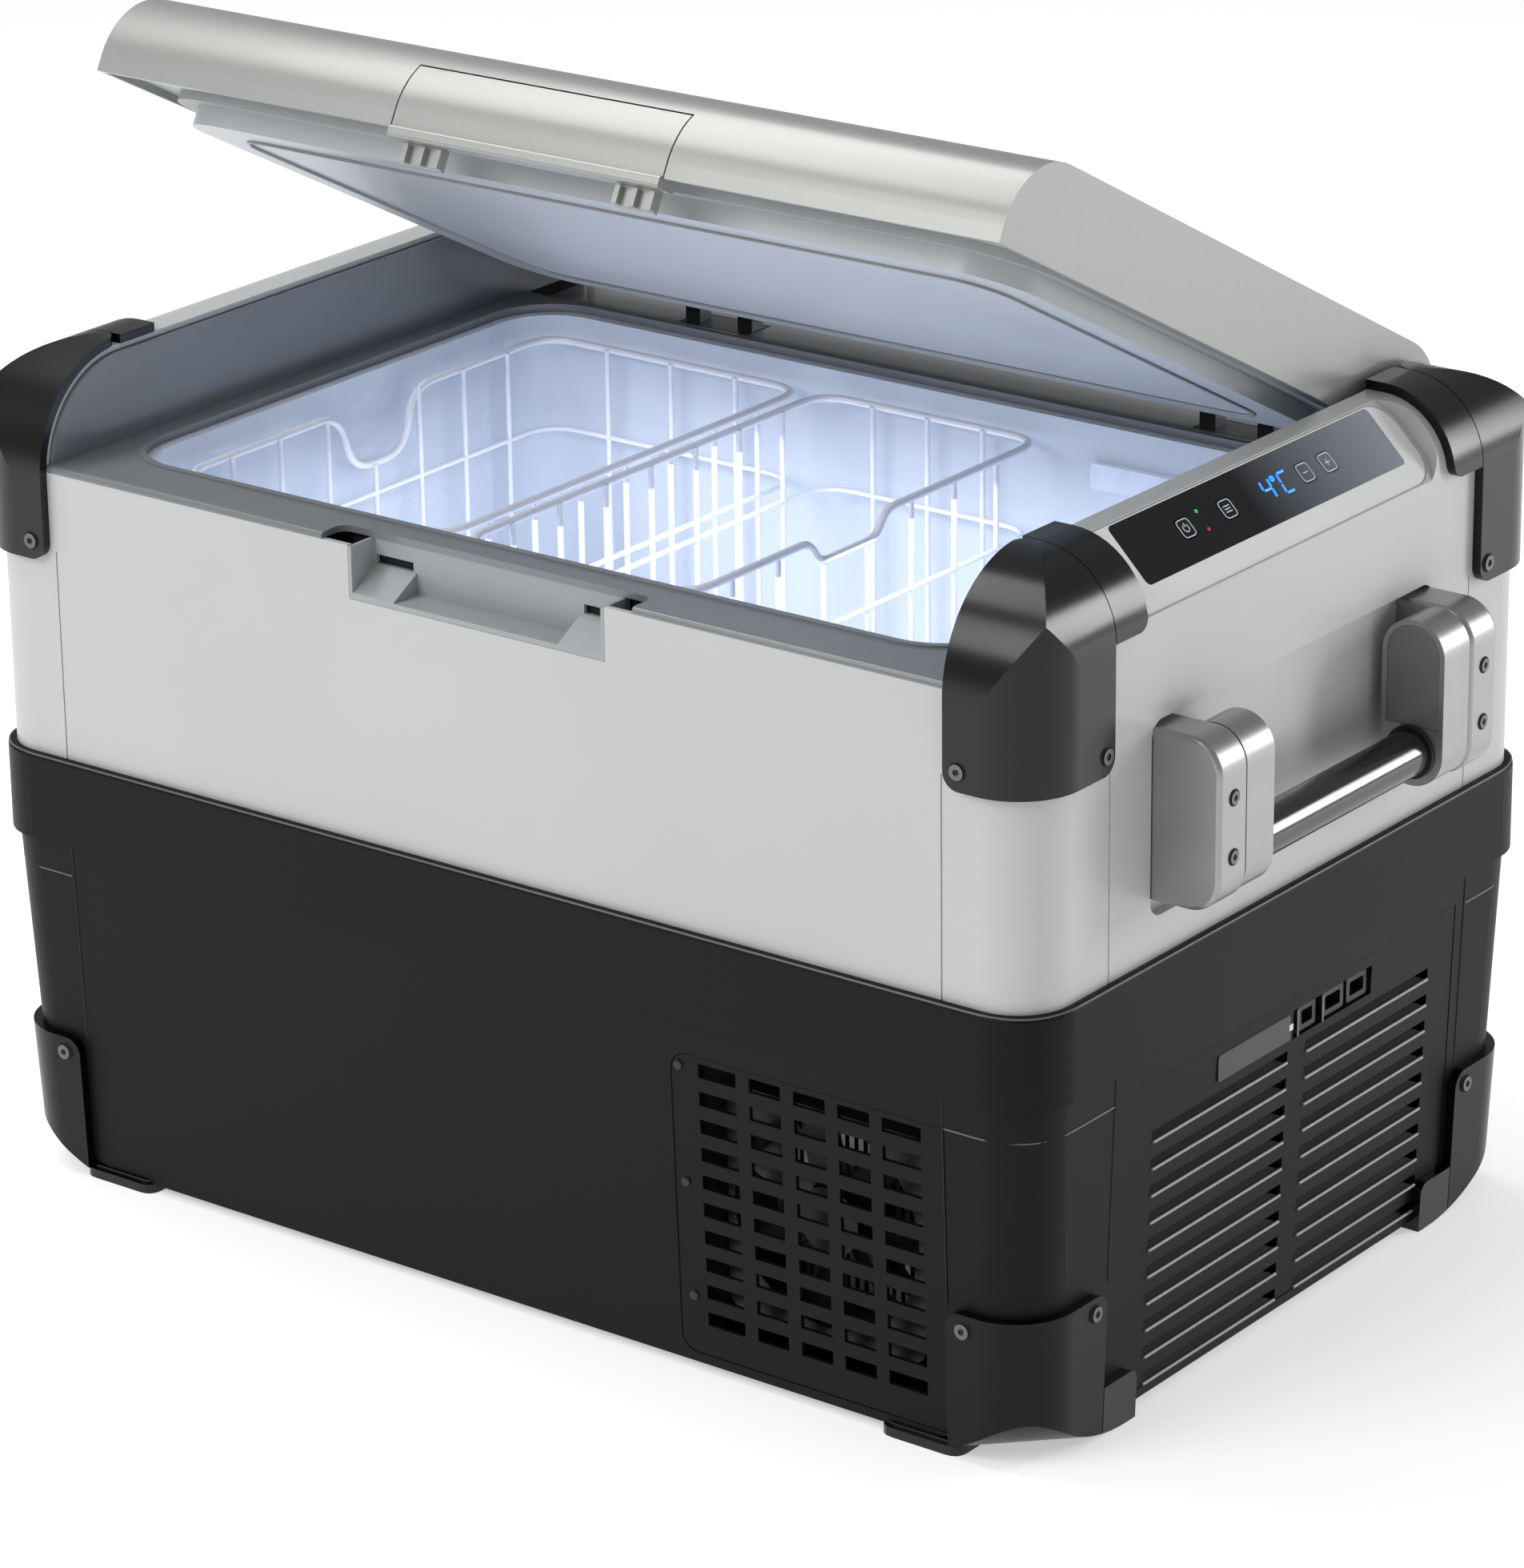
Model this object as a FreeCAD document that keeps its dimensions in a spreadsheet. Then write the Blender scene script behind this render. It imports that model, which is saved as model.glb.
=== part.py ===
"""Compressor cooler fridge with a hinged lid, a sprung lid latch and two swing handles.

Millimetres, +Z up. X runs along the casing towards the control-panel end, the front faces -Y,
and the origin is the centre of the footprint. The lid parts are drawn about the hinge axis.
"""
import FreeCAD, Part
import os
import re

doc = FreeCAD.newDocument("CoolerFridge")
sheet = doc.addObject("Spreadsheet::Sheet", "Dimensions")

DIMENSIONS = {
    # upper casing
    "case_half_x": 332.5, "case_half_y": 223, "corner_radius": 29, "skin": 3,
    "wall_top": 450, "front_top": 396, "ledge_top": 388, "cheek_x": 282.7, "cheek_thick": 2.3,
    "nose_radius": 57, "shoulder_radius": 38, "seam_x": 280, "seam_y": 161, "seam_width": 0.9,
    # belt band and lower casing
    "band_half_x": 337, "band_half_y": 227.5, "band_bottom": 192, "band_top": 240,
    "lower_half_x": 333, "lower_half_y": 223.5, "base_height": 5, "base_inset": 7,
    "foot_round": 50,
    # corner guards
    "guard_proud": 5, "guard_x": 284, "guard_y": 164, "guard_bottom": 349,
    "strip_y": 137, "strip_bottom": 412, "guard_gap": 0.7,
    "foot_x": 282, "foot_y": 161, "foot_top": 80, "toe_y": 132, "toe_top": 27,
    # opening, liner and insulation
    "opening_x": 268, "opening_front": -188, "opening_back": 158, "opening_radius": 38,
    "flange_top": 399.4, "bead_width": 4, "bead_top": 400.4, "back_step": 165,
    "well_x": 262, "well_front": -182, "well_back": 152, "liner_thick": 2.5,
    "well_floor": 45, "hump_x": 95, "hump_top": 262, "foam_gap": 2,
    "bay_x": 128, "bay_top": 226, "bay_half_y": 205,
    # lid, measured from the hinge axis
    "hinge_y": 200, "hinge_height": 410, "lid_angle": 27.7,
    "lid_half_x": 279, "lid_front": -420, "lid_rear": 12, "lid_bottom": -8, "lid_top": 40,
    "lid_front_radius": 40, "lid_rear_radius": 44, "lid_skin": 3,
    "plug_x": 260, "plug_front": -380, "plug_rear": -52, "plug_bottom": -19, "plug_skin": 2.5,
    "gasket_width": 10,
    "hinge_x": 170, "hinge_width": 46, "hinge_pin_radius": 3,
    # latch flap and its keeper in the casing
    "flap_half_x": 84, "flap_top": 25.6, "flap_thick": 5, "flap_gap": 0.9,
    "latch_pin_y": -407.5, "latch_pin_z": 22, "latch_pin_radius": 1.5,
    "hook_x": 66, "hook_width": 24, "hook_low": -24,
    "lip_drop": 5, "frame_gap_x": 98,
    "recess_x": 81, "recess_depth": 21, "recess_low": 368, "finger_x": 52, "ramp_rise": 14,
    # swing handles
    "handle_out": 371, "handle_low": 270.5, "handle_high": 358.5, "handle_radius": 18,
    "arm_y": 77, "arm_width": 23.8, "block_y": 101.4, "block_end": 125.3,
    "arm_back": 334, "arm_front": 370, "pivot_x": 352, "pivot_z": 340, "bar_z": 289,
    "bar_radius": 12, "pivot_radius": 4, "running_gap": 0.05,
    # screw heads; foot_lean is how far the sloping lower guard stands back at their height
    "screw_x": 292.5, "screw_y": 171, "screw_high": 359, "screw_low": 71.5, "screw_radius": 4,
    "screw_head": 1.2, "foot_lean": 4.35, "block_screw_low": 298, "block_screw_high": 328,
    "block_screw_radius": 3.4, "block_screw_head": 0.9,
    "pocket_y": 126, "pocket_low": 261, "pocket_high": 361, "pocket_depth": 6,
    # control panel on the sloped shoulder of the right-hand end wall
    "facet_x": 314.7, "facet_z": 432.2, "facet_half": 25.2, "facet_front": -139, "facet_back": 132,
    "facet_rim": 1,
    "glass_low": -23.2, "glass_high": 11.3, "glass_y": 114.5, "glass_thick": 1.6,
    "key_line": -6.5, "key_size": 11, "key_gap": 0.4,
    # vents
    "grille_low_x": 116, "grille_high_x": 281, "grille_low": 10, "grille_high": 174,
    "grille_slot_low": 27, "grille_pitch": 15.1, "grille_slot_height": 7.6,
    "vent_front": -153, "vent_back": 158, "vent_low": 10, "vent_high": 176,
    "vent_slot_low": 11, "vent_pitch": 14.6, "vent_slot_height": 6, "panel_thick": 2.5,
    # baskets
    "basket_front": -160, "basket_back": 146, "basket_top": 386, "basket_wall": 3,
    # machine bay
    "can_x": 258, "can_y": 120, "can_radius": 56, "can_height": 128, "can_low": 34, "can_round": 30,
    "fan_x": 198, "fan_z": 96, "fan_front": -206, "fan_depth": 25, "fan_half": 60, "fan_bore": 56,
    "core_low_x": 140, "core_front": -176, "core_depth": 42, "core_low": 38, "core_size": 116,
    "drier_x": 160, "drier_y": -60, "drier_low": 60, "drier_length": 70, "pipe_radius": 3,
}


def fill_sheet():
    """One row for each driving dimension: its name, then its value under that alias."""
    for row, (alias, value) in enumerate(DIMENSIONS.items(), start=1):
        sheet.set(f"A{row}", alias)
        sheet.set(f"B{row}", str(value))
        sheet.setAlias(f"B{row}", alias)
    doc.recompute()


def linked(text):
    """The expression with every dimension name pointing at the sheet."""
    def link(match):
        word = match.group(0)
        return f"Dimensions.{word}" if word in DIMENSIONS else word
    return re.sub(r"[A-Za-z_][A-Za-z_0-9]*", link, str(text))


def bind(thing, prop, text):
    thing.setExpression(prop, linked(text))


# ---------------------------------------------------------------- building blocks
def picked_edges(shape, rule):
    """Straight edges along the rule's first letter; "+x" or "-x" keeps the far or near side."""
    axis = "xyz".index(rule[0])
    found = []
    box = shape.BoundBox
    low = (box.XMin, box.YMin, box.ZMin)
    high = (box.XMax, box.YMax, box.ZMax)
    for number, edge in enumerate(shape.Edges, start=1):
        if len(edge.Vertexes) < 2:
            continue
        start, end = (vertex.Point for vertex in edge.Vertexes[:2])
        run = end - start
        across = [abs(run[i]) for i in range(3) if i != axis]
        if abs(run[axis]) < 1 or max(across) > 0.2 * abs(run[axis]):
            continue
        middle = (start + end) * 0.5
        kept = True
        for sign, letter in re.findall(r"([+-])([xyz])", rule[1:]):
            side = "xyz".index(letter)
            limit = high[side] if sign == "+" else low[side]
            kept = kept and abs(middle[side] - limit) < 0.2 * (high[side] - low[side])
        if kept:
            found.append(f"Edge{number}")
    return found


def rounded(body, tip, rounds):
    """Fillets on a body, one feature for each (edge rule, radius) pair."""
    for count, (rule, radius) in enumerate(rounds, start=1):
        doc.recompute()
        fillet = body.newObject("PartDesign::Fillet", f"{body.Name}Round{count}")
        fillet.Base = (tip, picked_edges(tip.Shape, rule))
        bind(fillet, "Radius", radius)
        tip = fillet
    body.Tip = tip
    return body


def block(name, x, y, z, rounds=()):
    """A box between two limits on each axis, with chosen edges rounded."""
    body = doc.addObject("PartDesign::Body", name)
    box = body.newObject("PartDesign::AdditiveBox", name + "Box")
    for prop, (low, high) in zip(("Length", "Width", "Height"), (x, y, z)):
        bind(box, prop, f"({high}) - ({low})")
    for axis, (low, high) in zip("xyz", (x, y, z)):
        bind(box, f"Placement.Base.{axis}", low)
    return rounded(body, box, rounds)


TURNS = {
    "x": FreeCAD.Rotation(FreeCAD.Vector(0, 1, 0), 90),
    "y": FreeCAD.Rotation(FreeCAD.Vector(1, 0, 0), -90),
    "z": FreeCAD.Rotation(),
}


def rod(name, along, radius, length, at):
    """A cylinder that starts at a point and runs along one axis."""
    piece = doc.addObject("Part::Cylinder", name)
    bind(piece, "Radius", radius)
    bind(piece, "Height", length)
    piece.Placement = FreeCAD.Placement(FreeCAD.Vector(), TURNS[along])
    for axis, text in zip("xyz", at):
        bind(piece, f"Placement.Base.{axis}", text)
    return piece


def ball(name, radius, at):
    piece = doc.addObject("Part::Sphere", name)
    bind(piece, "Radius", radius)
    for axis, text in zip("xyz", at):
        bind(piece, f"Placement.Base.{axis}", text)
    return piece


def common(name, *pieces):
    piece = doc.addObject("Part::MultiCommon", name)
    piece.Shapes = list(pieces)
    return piece


def fused(name, *pieces):
    piece = doc.addObject("Part::MultiFuse", name)
    piece.Shapes = list(pieces)
    piece.Refine = True
    return piece


def gathered(name, *pieces):
    """Separate solids kept side by side under one name."""
    piece = doc.addObject("Part::Compound", name)
    piece.Links = list(pieces)
    return piece


def cut(name, base, *tools):
    for count, tool in enumerate(tools):
        piece = doc.addObject("Part::Cut", name if count == len(tools) - 1 else f"{name}Step{count}")
        piece.Base = base
        piece.Tool = tool
        base = piece
    return base


def mirrored(name, source, normal):
    piece = doc.addObject("Part::Mirroring", name)
    piece.Source = source
    piece.Normal = normal
    return piece


MIRROR_X = FreeCAD.Vector(1, 0, 0)
MIRROR_Y = FreeCAD.Vector(0, 1, 0)
nodes = {}


def node(label, piece):
    """Names a finished sub-part."""
    piece.Label = label
    nodes[label] = piece
    return piece


def four_corners(label, piece):
    """The front right corner piece, and its copies at the other three corners."""
    front_left = mirrored(label + "LeftCopy", piece, MIRROR_X)
    node(f"{label}_front_right", piece)
    node(f"{label}_front_left", front_left)
    node(f"{label}_rear_right", mirrored(label + "RearCopy", piece, MIRROR_Y))
    node(f"{label}_rear_left", mirrored(label + "RearLeftCopy", front_left, MIRROR_Y))


def all_corners(name, piece):
    """The same small piece at all four corners, as separate solids of one sub-part."""
    left = mirrored(name + "Left", piece, MIRROR_X)
    return gathered(name, piece, left, mirrored(name + "Rear", piece, MIRROR_Y),
                    mirrored(name + "RearLeft", left, MIRROR_Y))


def symmetric(half):
    return (f"-({half})", half)


# ---------------------------------------------------------------- outer forms
def casing_form(name, grow, low):
    """The upper casing's outer form, grown outwards all round: three rounded profiles in common."""
    half_x = f"case_half_x + ({grow})"
    half_y = f"case_half_y + ({grow})"
    limits = (symmetric(half_x), symmetric(half_y), (low, f"wall_top + ({grow})"))
    plan = block(name + "Plan", *limits, [("z", f"corner_radius + ({grow})")])
    side = block(name + "Side", *limits, [("x+z", f"nose_radius + ({grow})")])
    front = block(name + "Front", *limits, [("y+z", f"shoulder_radius + ({grow})")])
    return common(name, plan, side, front)


def corner_rounds(name, grow):
    """Two upright blocks turned by 45 degrees: in common with a form they round its bottom corners."""
    corner = f"corner_radius + ({grow})"
    reach = f"(lower_half_x + lower_half_y + 2 * ({grow})) / sqrt(2) - (sqrt(2) - 1) * ({corner}) + 0.5"
    blocks = []
    for rule in ("x-z", "y-z"):
        piece = block(name + rule[0].upper(), symmetric(reach), symmetric(reach),
                      (f"base_height - ({grow})", "band_bottom + 60"), [(rule, f"foot_round + ({grow})")])
        piece.Placement = FreeCAD.Placement(FreeCAD.Vector(), FreeCAD.Rotation(FreeCAD.Vector(0, 0, 1), 45))
        blocks.append(piece)
    return blocks


def lower_form(name, grow, low, high="band_bottom"):
    """The lower casing's outer form: it narrows downwards and its four bottom corners are rounded."""
    slope = "base_inset / (band_bottom - base_height)"
    body = doc.addObject("PartDesign::Body", name + "Taper")
    wedge = body.newObject("PartDesign::AdditiveWedge", name + "Wedge")
    wedge.Placement = FreeCAD.Placement(FreeCAD.Vector(), FreeCAD.Rotation(FreeCAD.Vector(1, 0, 0), 90))
    for prefix, level in (("", low), ("2", high)):
        half_x = f"lower_half_x + ({grow}) - (band_bottom - ({level})) * {slope}"
        half_y = f"lower_half_y + ({grow}) - (band_bottom - ({level})) * {slope}"
        bind(wedge, f"X{prefix}min", f"-({half_x})")
        bind(wedge, f"X{prefix}max", half_x)
        bind(wedge, f"Z{prefix}min", f"-({half_y})")
        bind(wedge, f"Z{prefix}max", half_y)
    bind(wedge, "Ymin", low)
    bind(wedge, "Ymax", high)
    rounded(body, wedge, [("z", f"corner_radius + ({grow})")])
    return common(name, body, *corner_rounds(name + "Corner", grow))


def facet_place(piece):
    """Puts a piece drawn flat onto the sloped shoulder of the right-hand end wall."""
    piece.Placement = FreeCAD.Placement(FreeCAD.Vector(), FreeCAD.Rotation(FreeCAD.Vector(0, 1, 0), 45))
    bind(piece, "Placement.Base.x", "facet_x")
    bind(piece, "Placement.Base.z", "facet_z")
    return piece


def lid_place(piece):
    """Turns a piece drawn about the hinge axis, lid shut, to where the lid rests open."""
    piece.Placement = FreeCAD.Placement(FreeCAD.Vector(), FreeCAD.Rotation(FreeCAD.Vector(-1, 0, 0), 27.7))
    bind(piece, "Placement.Rotation.Angle", "lid_angle")
    bind(piece, "Placement.Base.y", "hinge_y")
    bind(piece, "Placement.Base.z", "hinge_height")
    return piece


# ---------------------------------------------------------------- upper casing
def make_upper_shell():
    outer = casing_form("CaseOuter", "0", "band_top")
    inner = casing_form("CaseInner", "-skin", "band_top - 1")
    right_backing = block("PocketBacking", ("case_half_x - pocket_depth - skin", "case_half_x + 5"),
                          symmetric("pocket_y + skin"), ("pocket_low - skin", "pocket_high + skin"))
    left_backing = mirrored("PocketBackingLeft", right_backing, MIRROR_X)
    facet_backing = facet_place(gathered("FacetBacking", block(
        "FacetBackingBlock", ("-facet_half - 3", "facet_half + 3"), ("facet_front - 4", "facet_back + 4"),
        ("-6", "14"))))
    cavity = cut("CaseCavity", inner, right_backing, left_backing, facet_backing)
    right_pocket = block("HandPocket", ("case_half_x - pocket_depth", "case_half_x + 5"),
                         symmetric("pocket_y"), ("pocket_low", "pocket_high"), [("x", "9")])
    left_pocket = mirrored("HandPocketLeft", right_pocket, MIRROR_X)
    channel = block("LidChannel", symmetric("cheek_x + cheek_thick"), symmetric("case_half_y + 5"),
                    ("front_top", "wall_top + 5"))
    back_channel = block("BackChannel", symmetric("cheek_x + cheek_thick"),
                         ("back_step", "case_half_y + 5"), ("ledge_top", "wall_top + 5"))
    recess = block("LatchRecess", symmetric("recess_x"),
                   ("-case_half_y - 5", "recess_depth - case_half_y"), ("recess_low", "front_top + 1"))
    facet = facet_place(gathered("FacetCutter", block(
        "FacetCutterBlock", ("-facet_half - 3", "facet_half + 3"), ("facet_front", "facet_back"),
        ("0", "30"), [("z+y", "20"), ("z-y", "6")])))
    facet_hole = facet_place(gathered("FacetHole", block(
        "FacetHoleBlock", ("-facet_half + facet_rim", "facet_half - facet_rim"),
        ("facet_front + 3", "facet_back - 3"),
        ("-8", "1"), [("z+y", "17"), ("z-y", "4")])))
    seams = []
    for side in (-1, 1):
        seams.append(block(f"FrontSeam{side + 1}", (f"{side} * seam_x - seam_width / 2",
                                                    f"{side} * seam_x + seam_width / 2"),
                           ("-case_half_y - 1", "0.8 - case_half_y"), ("band_top", "guard_bottom + 5")))
        for end in (-1, 1):
            low, high = ("case_half_x - 0.8", "case_half_x + 1") if end > 0 else (
                "-case_half_x - 1", "0.8 - case_half_x")
            seams.append(block(f"EndSeam{side + 1}{end + 1}", (low, high),
                               (f"{side} * seam_y - seam_width / 2", f"{side} * seam_y + seam_width / 2"),
                               ("band_top", "guard_bottom + 5")))
    seam_lines = gathered("CaseSeams", *seams)
    node("upper_shell", cut("UpperShell", outer, cavity, right_pocket, left_pocket, channel,
                            back_channel, recess, facet, facet_hole, seam_lines))


def make_latch_keeper():
    """Insert in the front panel: finger recess between two ramps, with a slot above each ramp."""
    front = "-case_half_y"
    back = "recess_depth - case_half_y"
    base = block("KeeperBase", symmetric("recess_x - 0.2"), (front, f"{back} - 0.2"),
                 ("recess_low + 0.2", "front_top - 0.4"))
    hollow = block("KeeperHollow", symmetric("recess_x - 2.2"), (f"{front} - 5", f"{back} - 2.7"),
                   ("recess_low + ramp_rise", "front_top + 5"))
    finger = block("KeeperFinger", symmetric("finger_x"), (f"{front} - 5", f"{back} - 2.7"),
                   ("recess_low + 3", "front_top + 5"))
    ramps = []
    for side in (-1, 1):
        ramp = doc.addObject("Part::Wedge", f"KeeperRamp{side + 1}")
        inner, outer = ("finger_x - 1", "recess_x - 2.2") if side > 0 else ("2.2 - recess_x", "1 - finger_x")
        for prop, text in (("Xmin", inner), ("Xmax", outer), ("X2min", inner), ("X2max", outer),
                           ("Ymin", f"{front} - 1"), ("Ymax", f"{back} - 2.7"),
                           ("Zmin", "recess_low + 3"), ("Z2min", "recess_low + ramp_rise - 0.1"),
                           ("Zmax", "front_top + 2"), ("Z2max", "front_top + 2")):
            bind(ramp, prop, text)
        ramps.append(ramp)
    slots = gathered("KeeperSlots", *[
        block(f"KeeperSlot{side + 1}",
              (f"{side} * hook_x - hook_width / 2", f"{side} * hook_x + hook_width / 2"),
              (f"{back} - 3", f"{back} + 1"), ("recess_low + ramp_rise", "recess_low + ramp_rise + 5"))
        for side in (-1, 1)])
    node("latch_keeper", cut("LatchKeeper", base, hollow, finger, ramps[0], ramps[1], slots))


def make_top_frame():
    """Grey moulded frame round the opening: flange, raised bead, back step and both end cheeks."""
    flange = block("FlangePlate", symmetric("cheek_x + cheek_thick"), ("-case_half_y", "back_step"),
                   ("front_top", "flange_top"), [("x-y+z", "2.6")])
    back = block("BackLedge", symmetric("cheek_x + cheek_thick"), ("back_step", "case_half_y"),
                 ("ledge_top", "ledge_top + 3"), [("x+y+z", "2.4")])
    riser = block("BackRiser", symmetric("cheek_x + cheek_thick"), ("back_step - 3", "back_step"),
                  ("ledge_top", "flange_top"))
    bead = block("RimBead", symmetric("opening_x + bead_width"),
                 ("opening_front - bead_width", "opening_back + bead_width"),
                 ("front_top - 0.1", "bead_top"), [("z", "opening_radius + bead_width")])
    opening = block("RimOpening", symmetric("opening_x"), ("opening_front", "opening_back"),
                    ("ledge_top - 5", "wall_top"), [("z", "opening_radius")])
    cheek_profile = casing_form("CheekProfile", "-skin - 0.3", "band_top")
    cheeks = []
    for side in (-1, 1):
        low, high = ("cheek_x", "cheek_x + cheek_thick") if side > 0 else (
            "-cheek_x - cheek_thick", "-cheek_x")
        slab = block(f"CheekSlab{side + 1}", (low, high), symmetric("case_half_y - skin - 0.3"),
                     ("flange_top - 1", "wall_top"))
        cheeks.append(common(f"Cheek{side + 1}", slab, cheek_profile))
    body = fused("TopFrameBody", flange, back, riser, bead, *cheeks)
    keeper_gap = block("FrameLatchGap", symmetric("frame_gap_x"),
                       ("-case_half_y - 5", "recess_depth - case_half_y - 4"), ("front_top - 5", "wall_top"),
                       [("z+y", "6")])
    hinge_gaps = gathered("FrameHingeGaps", *[
        block(f"FrameHingeGap{side + 1}", (f"{side} * hinge_x - hinge_width / 2 - 1",
                                           f"{side} * hinge_x + hinge_width / 2 + 1"),
              ("hinge_y - 11", "hinge_y + 11"), ("ledge_top - 1", "ledge_top + 5")) for side in (-1, 1)])
    node("top_frame", cut("TopFrame", body, opening, keeper_gap, hinge_gaps))


# ---------------------------------------------------------------- band and lower casing
def make_band():
    outer = block("BandOuter", symmetric("band_half_x"), symmetric("band_half_y"),
                  ("band_bottom", "band_top"), [("z", "corner_radius + 4"), ("x+z", "2.5")])
    hollow = block("BandHollow", symmetric("case_half_x - skin"), symmetric("case_half_y - skin"),
                   ("band_bottom - 1", "band_top + 1"), [("z", "corner_radius - skin")])
    node("belt_band", cut("BeltBand", outer, hollow))


def make_lower_shell():
    outer = lower_form("LowerOuter", "0", "base_height")
    inner = lower_form("LowerInner", "-skin", "base_height + skin", "band_bottom + 2")
    grille_hole = block("GrilleHole", ("grille_low_x", "grille_high_x"), ("-lower_half_y - 5", "-190"),
                        ("grille_low", "grille_high"), [("y-x", "10")])
    vent_hole = block("VentHole", ("300", "lower_half_x + 5"), ("vent_front", "vent_back"),
                      ("vent_low", "vent_high"))
    node("lower_shell", cut("LowerShell", outer, inner, grille_hole, vent_hole))


def slot_bank(name, across, low, pitch, height, count, through, along):
    """Rows of slots, one row for each pitch; across holds each slot's limits."""
    slots = []
    for row in range(count):
        bottom = f"{low} + {row} * {pitch}"
        for number, limits in enumerate(across):
            if along == "x":
                spans = (limits, through)
            else:
                spans = (through, limits)
            slots.append(block(f"{name}{row}n{number}", *spans, (bottom, f"{bottom} + {height}")))
    return gathered(name, *slots)


def make_front_grille():
    """Follows the casing's slope: cut from a thin shell of the lower form."""
    skin = cut("GrilleSkin", lower_form("GrilleOuter", "-0.3", "base_height", "band_bottom"),
               lower_form("GrilleInner", "-0.3 - panel_thick", "base_height - 1", "band_bottom + 1"))
    window = block("GrilleWindow", ("grille_low_x + 0.4", "grille_high_x - 0.4"), ("-lower_half_y - 5", "-190"),
                   ("grille_low + 0.4", "grille_high - 0.4"), [("y-x", "9.6")])
    plate = common("GrillePlate", skin, window)
    columns = [(133, 156), (164, 183), (191, 210), (217.5, 236.5), (244, 267)]
    slots = slot_bank("GrilleSlots", columns, "grille_slot_low", "grille_pitch", "grille_slot_height",
                      10, ("-lower_half_y - 5", "-190"), "x")
    node("front_vent_grille", cut("FrontGrille", plate, slots))


def make_side_vent():
    skin = cut("VentSkin", lower_form("VentOuter", "-0.3", "base_height", "band_bottom"),
               lower_form("VentInner", "-0.3 - panel_thick", "base_height - 1", "band_bottom + 1"))
    window = block("VentWindow", ("300", "lower_half_x + 5"), ("vent_front + 0.4", "vent_back - 0.4"),
                   ("vent_low + 0.4", "vent_high - 0.4"))
    plate = common("VentPlate", skin, window)
    slots = slot_bank("VentSlots", [(-120, 1), (17, 134)], "vent_slot_low", "vent_pitch",
                      "vent_slot_height", 10, ("300", "lower_half_x + 5"), "y")
    inlets = block("InletWindow", ("300", "lower_half_x + 5"), ("5", "78"), ("153.5", "169"))
    node("side_vent_panel", cut("SideVent", plate, slots, inlets))


def make_guards():
    """Corner guards: shells that stand proud of the casing, cut from its grown outer form."""
    shell = cut("GuardShell", casing_form("GuardOuter", "guard_proud", "guard_bottom - 10"),
                casing_form("GuardInner", "0", "guard_bottom - 12"))
    main_zone = block("GuardZone", ("guard_x", "case_half_x + 10"), ("-case_half_y - 10", "-guard_y"),
                      ("guard_bottom", "wall_top + 10"), [("y-x-z", "9"), ("x+y-z", "9")])
    strip_zone = block("StripZone", ("guard_x", "case_half_x + 10"),
                       ("guard_gap - guard_y", "-strip_y"), ("strip_bottom", "wall_top + 10"),
                       [("x+y-z", "7")])
    four_corners("upper_guard", common("UpperGuard", shell, main_zone))
    node("guard_strips", all_corners("GuardStrips", common("GuardStrip", shell, strip_zone)))
    lower = cut("FootShell", lower_form("FootOuter", "guard_proud", "0", "foot_top + 10"),
                lower_form("FootInner", "0", "base_height", "foot_top + 20"))
    foot_zone = block("FootZone", ("foot_x", "lower_half_x + 10"), ("-lower_half_y - 10", "-foot_y"),
                      ("0", "foot_top"), [("y-x+z", "9"), ("x+y+z", "9")])
    toe_zone = block("ToeZone", ("foot_x + 20", "lower_half_x + 10"), ("guard_gap - foot_y", "-toe_y"),
                     ("0", "toe_top"), [("x+y+z", "6")])
    four_corners("lower_guard", common("LowerGuard", lower, foot_zone))
    node("guard_toes", all_corners("GuardToes", common("GuardToe", lower, toe_zone)))


# ---------------------------------------------------------------- cold side
def well_form(name, grow, top):
    """Stepped well, grown outwards: a deep part, and a shallow shelf over the machine bay."""
    radius = f"opening_radius - 6 + ({grow})"
    deep = block(name + "Deep", (f"-well_x - ({grow})", f"hump_x + ({grow})"),
                 (f"well_front - ({grow})", f"well_back + ({grow})"), (f"well_floor - ({grow})", top),
                 [("z-x", radius), ("z+x", f"16 + ({grow})")])
    shelf = block(name + "Shelf", (f"-well_x - ({grow})", f"well_x + ({grow})"),
                  (f"well_front - ({grow})", f"well_back + ({grow})"), (f"hump_top - ({grow})", top),
                  [("z", radius)])
    return fused(name, deep, shelf)


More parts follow.
